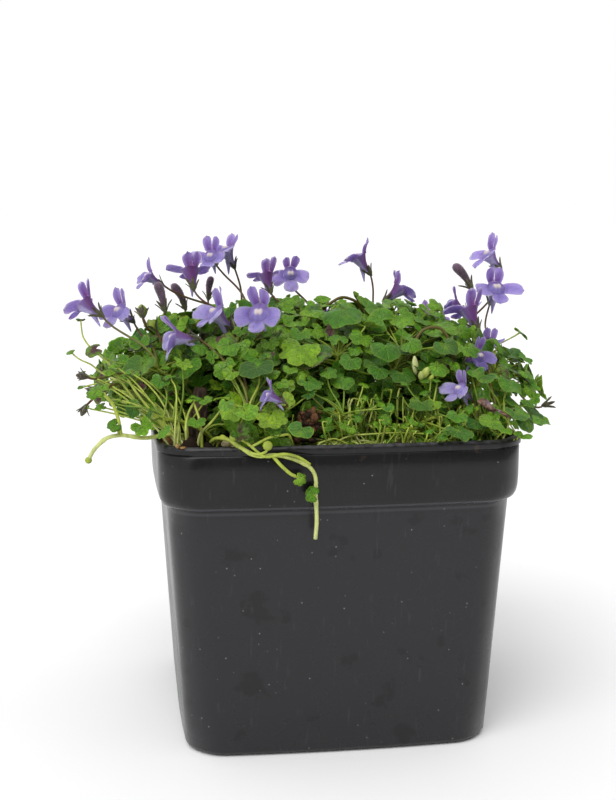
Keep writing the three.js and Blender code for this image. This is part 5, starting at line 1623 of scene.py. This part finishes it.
def make_bark_chip():
    """Four-sided sections joined from foot to top, roughened by sines along and across the grain."""
    level = soil_height(CHIP_FOOT[0], CHIP_FOOT[1])
    stations = np.array((CHIP_FOOT, CHIP_WAIST, CHIP_TOP)) + (0, 0, level)
    share = np.linspace(0, 1, 26)
    knots = (0, CHIP_WAIST_SHARE, 1)
    middle = np.stack([np.interp(share, knots, stations[:, k]) for k in range(3)], axis=1)
    wide, deep = np.interp(share, knots, CHIP_HALF_WIDTHS), np.interp(share, knots, CHIP_HALF_DEPTHS)
    turn = np.linspace(0, 2 * math.pi, 25)
    square = np.stack([np.cos(turn), np.sin(turn)], axis=1)
    square = np.sign(square) * np.abs(square) ** 0.5
    up = share[:, None]
    rough = 1 + 0.07 * np.sin(5 * turn + 3 * up) + 0.06 * np.sin(9 * turn - 21 * up)
    x = middle[:, :1] + wide[:, None] * square[:, 0] * rough
    y = middle[:, 1:2] + deep[:, None] * square[:, 1] * rough
    z = middle[:, 2:] + 0.35 * np.sin(3 * turn) * (up > 0.97)
    body = together(x, y, z)
    body[:, -1] = body[:, 0]
    skin = Skin()
    skin.grid(closed(middle, body)[:, ::-1])
    build("bark_chip_fine", skin, (BARK,), ("bark_chip",))


# Runners and bare stems

def set_leaf(start, base, heading, facing, size):
    """A small leaf placed as given: both ends of its stalk, the way it points and faces, and its size."""
    return new_leaf(vec(*start), vec(*base), vec(*heading), unit(vec(*facing)), size=size, cup=-0.1, sway=0,
                    young=True)


def add_leaves(skin, leaves, key, pale):
    """Blades and stalks, with more points on a bigger leaf."""
    for k, leaf in enumerate(leaves):
        seed = key * 200 + k
        detail = (2, 2) if leaf["size"] < 3.4 else (2, 3) if "young" in leaf else (3, 5)
        leaf_blade(skin, leaf, leaf_tone(leaf, seed), *detail, seed)
        leaf_stalk(skin, leaf, pale + 0.2 * spread(seed, 26))


def make_runner(name, main, shoot, leaves, node_name, knobs, twined=()):
    """A long stem that swells at its three joints, 1 + 0.25 exp(-(s - joint)^2 / width^2), a side shoot,
    round knobs, and thinner stems twined with it."""
    skin = Skin()
    line = smooth(main, 60, 4)
    share = np.linspace(0, 1, 60)
    swell = 1 + 0.25 * np.exp(-((share[:, None] - (0.42, 0.66, 0.85)) / 0.012) ** 2).sum(axis=1)
    tube(skin, line, RUNNER_RADIUS * swell, 9, stalk_tone(0.68 + 0.26 * share, 0.03), STALK)
    tube(skin, smooth(shoot, 18, 2), SHOOT_RADIUS, 7, stalk_tone(0.75, 0.03), STALK)
    height = np.linspace(-1, 1, 11)
    for place, radius in knobs:
        girth = radius * np.sqrt(np.clip(1 - height ** 2, 0.01, 1))
        tube(skin, vec(*place) + radius * height[:, None] * UP, girth, 12, stalk_tone(0.7, 0.03), STALK)
    for points in twined:
        tube(skin, smooth(points, 34, 3), 0.34, 7, stalk_tone(0.72, 0.02), STALK)
    add_leaves(skin, leaves, 700 + len(name), 0.7)
    build(name, skin, LEAF, (node_name,))


def make_runners():
    """The runner over the front of the rim and the one that reaches out to the left."""
    make_runner("front_runner_fine", FRONT_RUNNER, FRONT_SHOOT, [
        set_leaf((-8, -47.4, 68), (-8.8, -49.6, 68.8), (-1, 0, 0.4), (0.2, -1, 0.3), 2.2),
        set_leaf((-13.4, -48.8, 73.4), (-12.6, -50.6, 73), (1, 0, -0.5), (0, -1, 0.4), 1.9),
    ], "front_runner", [((-19.6, -47.9, 80.6), 1.2), ((-27.5, -45.6, 82.4), 0.9)], TWINED)
    make_runner("left_runner_fine", LEFT_RUNNER, LEFT_SHOOT, [
        set_leaf((-57.6, -38.9, 92.4), (-58.9, -39.4, 93.4), (-1, -0.2, 0.2), (-0.2, -0.6, 1), 3),
        set_leaf((-54.4, -38.5, 82.4), (-55, -39.4, 85), (-1, -0.4, 0), (-0.1, -0.7, 1), 2.3),
    ], "left_runner", [(LEFT_RUNNER[-1], TIP_BUD)])


def make_bare_stems():
    """Stems listed one by one and a bundle of drawn ones, each with a tiny leaf at its tip."""
    skin = Skin()
    leaves, wild = [], np.random.default_rng(SEED + 6)
    shoots = list(BARE_STEMS)
    for _ in range(BUNDLE):
        foot = wild.uniform((-42, -38, 77), (-37.5, -33, 77.2))
        tip = wild.uniform((-63, -33, 86), (-38, -23, 98))
        shares = np.linspace(0, 1, 7)
        bow = wild.normal(0, 1.8, 3) + (0.45 * (tip[0] - foot[0]), 2, 2)
        shoots.append(bezier(foot, foot + (wild.normal(0, 1.5), -1.5, 6), tip - bow, tip, shares))
    for k, points in enumerate(shoots):
        line = smooth(points, 26, 3)
        share = np.linspace(0, 1, 26)
        pale = 0.66 + 0.34 * draw(k, 71) * (1 - share)
        tube(skin, line, (0.42 if k < 7 else 0.28) * (1 - 0.3 * share), 7, stalk_tone(pale, 0.05), STALK)
        tip, before = line[-1], line[-4]
        forward = unit(tip - before)
        leaves.append(set_leaf(tip, tip + 0.8 * forward + 0.3 * UP, forward + (0, -0.3, 0),
                               UP + 0.4 * forward + (0, -0.5, 0), 0.9 + 1.5 * draw(k, 72)))
    add_leaves(skin, leaves, 760, 0.7)
    build("bare_stems", skin, LEAF)


def make_spent():
    """Spent calyces on their stalks, arching stems, shoot tips, and withered flowers, each of
    three folds of thin skin that wind round one another and shrink to both ends."""
    skin = Skin()
    for k, (root, place, turn, tilt, size) in enumerate(SPENT_HEADS):
        flower = Flower(place, turn, tilt, size, SEED_REACH)
        flower_stalk(skin, dict(bend=stalk_bend(vec(*root), flower, vec(0, 0, 0)), flower=flower), 300 + k)
        pod = smooth([flower.put((0, 0, z)) for z in (0.2, 1.2, 2.6, 3.4)], 9, 0)
        swell = np.array((0.6, 0.95, 1.15, 1.2, 1.15, 1, 0.8, 0.55, 0.3))
        tube(skin, pod, size * swell, 10, calyx_tone(0.8, 0.7), SEPAL)
    for points in ARCHES:
        tube(skin, smooth(points, 30, 5), 0.42, 7, stalk_tone(0.3, 0.75), STALK)
    for foot, tip, girth, pale in SHOOT_TIPS:
        share = np.linspace(0, 1, 9)
        radii = girth * np.sin(math.pi * np.clip(0.1 + 0.84 * share, 0, 1)) ** 0.8
        line = vec(*foot) + share[:, None] * (vec(*tip) - vec(*foot))
        tube(skin, line, radii, 9, stalk_tone(pale, 0.05), STALK)
    build("spent_heads", skin, LEAF)
    skin = Skin()
    for k, (foot, tip, girth) in enumerate(WITHERED):
        share = np.linspace(0, 1, 30)
        foot, tip = vec(*foot), vec(*tip)
        curl = together(np.sin(5 * share + k), np.cos(4 * share), np.sin(6 * share + 2 * k))
        line = foot + share[:, None] * (tip - foot) + 0.2 * girth * curl
        radii = girth * np.sin(math.pi * np.clip(0.12 + 0.8 * share, 0, 1)) ** 0.8
        for turn in (0, 2.1, 4.2):
            wound = together(np.cos(turn + 3 * share), np.sin(turn + 3 * share), np.cos(turn - 2 * share))
            fold = line + 0.35 * radii[:, None] * wound
            tube(skin, fold, 0.62 * radii * (1 + 0.08 * np.sin(19 * share + turn)), 12)
    build("withered_flowers", skin, (WITHERED_PETAL,))


def make_seedlings(thicket):
    """Thin stems with tiny leaves that rise close together from the hollow at the front, and others that
    run over the soil there in low arches."""
    wild = np.random.default_rng(SEED + 5)
    skin = Skin()
    leaves = []
    for _ in range(SEEDLINGS):
        x, y = wild.uniform(-16, 42), wild.uniform(-41.5, -24)
        foot = vec(x, y, soil_height(x, y) - 0.5)
        rise = wild.uniform(3, 12.5) * (0.75 + 0.5 * (y + 41) / 17)
        tip = foot + vec(*wild.normal(0, 2.6, 2), rise)
        tip[1] = max(tip[1], -44)
        line = bezier(foot, foot + vec(*wild.normal(0, 1, 2), 0.4 * rise),
                      tip - vec(*wild.normal(0, 1.6, 2), 0.25 * rise), tip, np.linspace(0, 1, 12))
        if thicket.hits(line[4:]) > 1:
            continue
        pale = wild.uniform(0.4, 0.88)
        tube(skin, line, wild.uniform(0.17, 0.3), 5, stalk_tone(pale, 0.01), STALK)
        for share in (11, 8, 6)[:wild.integers(0, 4)]:
            start = line[share]
            aside = unit(vec(*wild.normal(0, 1, 2), 0.25))
            base = start + aside * wild.uniform(0.6, 2)
            facing = UP * 0.8 + vec(wild.normal(0, 0.4), -0.55 + wild.normal(0, 0.3), 0)
            leaf = set_leaf(start, base, aside, facing, wild.uniform(0.9, 2.1))
            points = blade_points(leaf, CELL)
            if not thicket.hits(points) and not meets_pot(points, 0.1):
                leaves.append(leaf)
                thicket.fill(points)
    for _ in range(RUNNING_STEMS):
        x, y = wild.uniform(-14, 40), wild.uniform(-42, -30)
        a = vec(x, y, soil_height(x, y) - 0.3)
        b = a + vec(wild.uniform(-12, 12), wild.normal(0, 2), 0)
        b[0], b[1] = np.clip(b[0], -20, 42), np.clip(b[1], -42.3, -28)
        b[2] = soil_height(b[0], b[1]) - 0.2
        lift = wild.uniform(1.5, 5)
        line = bezier(a, a + vec(0, 0, lift), b + vec(0, 0, lift), b, np.linspace(0, 1, 14))
        tube(skin, line, wild.uniform(0.15, 0.3), 5, stalk_tone(wild.uniform(0.6, 1), 0), STALK)
    add_leaves(skin, leaves, 800, 0.6)
    build("seedlings", skin, LEAF)


def make_foliage(stems):
    """Each leafy stem tapers from root to tip and carries its leaves and flower stalks."""
    for number, stem in enumerate(stems, 1):
        skin = Skin()
        line = np.concatenate([[stem["foot"]], bezier(*stem["bend"], np.linspace(0, 1, 22))])
        share = np.linspace(0, 1, 23)
        tone = stalk_tone(0.45 + 0.25 * share, 0.18 * (1 - share))
        tube(skin, line, 0.72 - 0.32 * share, 9, tone, STALK)
        add_leaves(skin, stem["leaves"], number, 0.5)
        for k, stalk in enumerate(stem["stalks"]):
            flower_stalk(skin, stalk, number * 9 + k)
        build(f"foliage_{number:02d}", skin, LEAF, (f"leafy_stem_{number:02d}",), sharp=60)


def make_flowers(blooms, buds):
    """A piece for every bloom and every closed bud."""
    for number, flower in enumerate(blooms, 1):
        skin = Skin()
        corolla(skin, flower, number)
        build(f"corolla_{number:02d}", skin, PETAL, (f"bloom_{number:02d}",), sharp=70)
    for number, flower in enumerate(buds, 1):
        skin = Skin()
        bud(skin, flower, 90 + number)
        build(f"hairy_bud_{number:02d}", skin, BUD, (f"bud_{number:02d}",))


# Growth: first everything that the solids show, in the order in which it takes its room

room = Room()
for points in (FRONT_RUNNER, FRONT_SHOOT, LEFT_RUNNER, LEFT_SHOOT):
    room.add(along_line(np.array(points, float), 1), RUNNER_BALL, OTHER)
room.add(along_line(np.array((CHIP_FOOT, CHIP_TOP)) + (0, 0, SOIL_LEVEL), 1.5), CHIP_BALL, OTHER)
stems = plan_stems(room)
blooms = [Flower(*bloom, OPEN_REACH) for bloom in BLOOMS]
buds = [Flower(*closed, BUD_REACH) for closed in BUDS]
seed_heads = [Flower(place, turn, tilt, 1, SEED_REACH, capsule) for place, turn, tilt, capsule in SEED_HEADS]
flowers = [*blooms, *buds, *seed_heads]
for number, flower in enumerate(flowers):
    keep_room(flower, FLOWER + number, room)
for number, flower in enumerate(flowers):
    plan_stalk(stems, flower, FLOWER + number, room)
plan_leaves(stems, room)

# Then the blooms settle, their stalks follow them, and some full-grown leaves stay small
knots = stem_knots(stems)
for number, root in ROOTS.items():
    blooms[number].root = nearest_stem(stems, knots, vec(*root), 0.5)[0]
for number, change in SETTLED.items():
    blooms[number].settle(*change)
    keep_room(blooms[number], FLOWER + number, room)
for stem in stems:
    for stalk in stem["stalks"]:
        root = stalk["flower"].root
        start = stalk["bend"][0] if root is None else root
        sway = stalk["sway"] * (1 if root is None else ROOTED_SWAY)
        stalk["bend"] = stalk_bend(start, stalk["flower"], sway)
    for leaf in stem["leaves"]:
        x, y, z = leaf["base"]
        if x > SHY_OUT or x < SHY_RIGHT and y < SHY_FRONT and z < SHY_HIGH:
            leaf["size"] *= SHY_SHARE

# Then the small leaves fill what is left, clear of all that grows and of the view to the bark and mound
thicket = Thicket()
for stem in stems:
    thicket.fill(along_line(stem["line"], CELL))
    for leaf in stem["leaves"]:
        thicket.fill(blade_points(leaf, CELL))
        thicket.fill(along_line(np.array([leaf["start"], leaf["base"]]), CELL))
    for stalk in stem["stalks"]:
        thicket.fill(along_line(bezier(*stalk["bend"], np.linspace(0, 1, 22)), CELL))
for points in (*BARE_STEMS, FRONT_RUNNER, LEFT_RUNNER, LEFT_SHOOT):
    thicket.fill(along_line(smooth(points, 20), CELL))
chip = along_line(np.array((CHIP_FOOT, CHIP_TOP)) + (0, 0, SOIL_LEVEL + 2), 1)
for step in range(0, 22, 2):
    for line in (chip, along_line(np.array(CLUMP), 1)):
        thicket.fill_balls(line + step * vec(-0.1, -1, 0.15), np.full(len(line), CLEARED_RADIUS))
blossom = (room.owners >= FLOWER) & (room.owners < OTHER)
thicket.fill_balls(room.points[blossom], room.radii[blossom])
place_key_leaves(stems, knots, thicket)
plan_mat(stems, knots, thicket)

make_pot()
make_soil()
make_crumbs()
make_moss()
make_bark_chip()
make_foliage(stems)
make_flowers(blooms, buds)
make_runners()
make_bare_stems()
make_spent()
make_seedlings(thicket)


# Floor, light and camera

def make_floor():
    """White paper, in metres, a hair under the pot."""
    material, _, _ = start_material("white_paper")
    finished(material, 0.9, (0.95, 0.95, 0.95, 1), Specular_IOR_Level=0.1)
    mesh = bpy.data.meshes.new("floor")
    corners = [(x * FLOOR_HALF, y * FLOOR_HALF, 0) for x, y in ((-1, -1), (1, -1), (1, 1), (-1, 1))]
    mesh.from_pydata(corners, [], [(0, 1, 2, 3)])
    floor = bpy.data.objects.new("floor", mesh)
    floor.location = (0, 0, -FLOOR_DROP)
    mesh.materials.append(material)
    bpy.context.collection.objects.link(floor)


def stand(thing, right, back, place):
    """Puts a light or the camera at a place in metres, looking against the way called back."""
    axes = np.column_stack([right, np.cross(back, right), back, place])
    thing.matrix_world = Matrix(axes.tolist() + [[0, 0, 0, 1]])
    bpy.context.collection.objects.link(thing)


def make_sun():
    """A wide soft light from high at the front left, as from a large softbox."""
    lamp = bpy.data.lights.new("softbox", "SUN")
    lamp.angle = math.radians(SOFTBOX_ANGLE)
    lamp.energy = SOFTBOX_STRENGTH
    back = unit(vec(*SOFTBOX_FROM))
    stand(bpy.data.objects.new("softbox", lamp), unit(np.cross(UP, back)), back, UP)


def make_camera():
    """Turned and tilted about its place as the photograph's camera is."""
    turn, down = math.radians(CAMERA_TURN), math.radians(CAMERA_DOWN)
    back = vec(-math.sin(turn) * math.cos(down), -math.cos(turn) * math.cos(down), math.sin(down))
    lens = bpy.data.cameras.new("camera")
    lens.lens, lens.sensor_width = CAMERA_LENS, 36
    lens.clip_start, lens.clip_end = 0.01, 50
    camera = bpy.data.objects.new("camera", lens)
    stand(camera, unit(np.cross(UP, back)), back, np.array(CAMERA_PLACE) * MM)
    bpy.context.scene.camera = camera


def make_world():
    """A white sweep behind, beside and over the plant, and a dim room where the camera stands."""
    world = bpy.data.worlds.new("white_sweep")
    world.use_nodes = True
    add = functools.partial(node, world.node_tree)
    east, north, high = add("SeparateXYZ", add("TexCoord").node.outputs["Generated"]).node.outputs
    behind = add("Math", north, 0.5, add("Math", east, -0.86, **TIMES), **TIMES_PLUS)
    sweep = add("MapRange", behind, -0.15, 0.1)
    over = add("Math", add("MapRange", high, 0.3, 0.7), 0.9, **TIMES)
    glow = add("Math", add("Math", sweep, over, **MOST), 0.65, 0.25, **TIMES_PLUS)
    seen = add("LightPath").node.outputs["Is Camera Ray"]
    strength = add("Math", glow, seen, **MOST)
    fill(world.node_tree.nodes["Background"], {"Color": "#ffffff", "Strength": strength})
    bpy.context.scene.world = world
    bpy.context.scene.view_settings.view_transform = "Standard"


make_floor()
make_sun()
make_camera()
make_world()
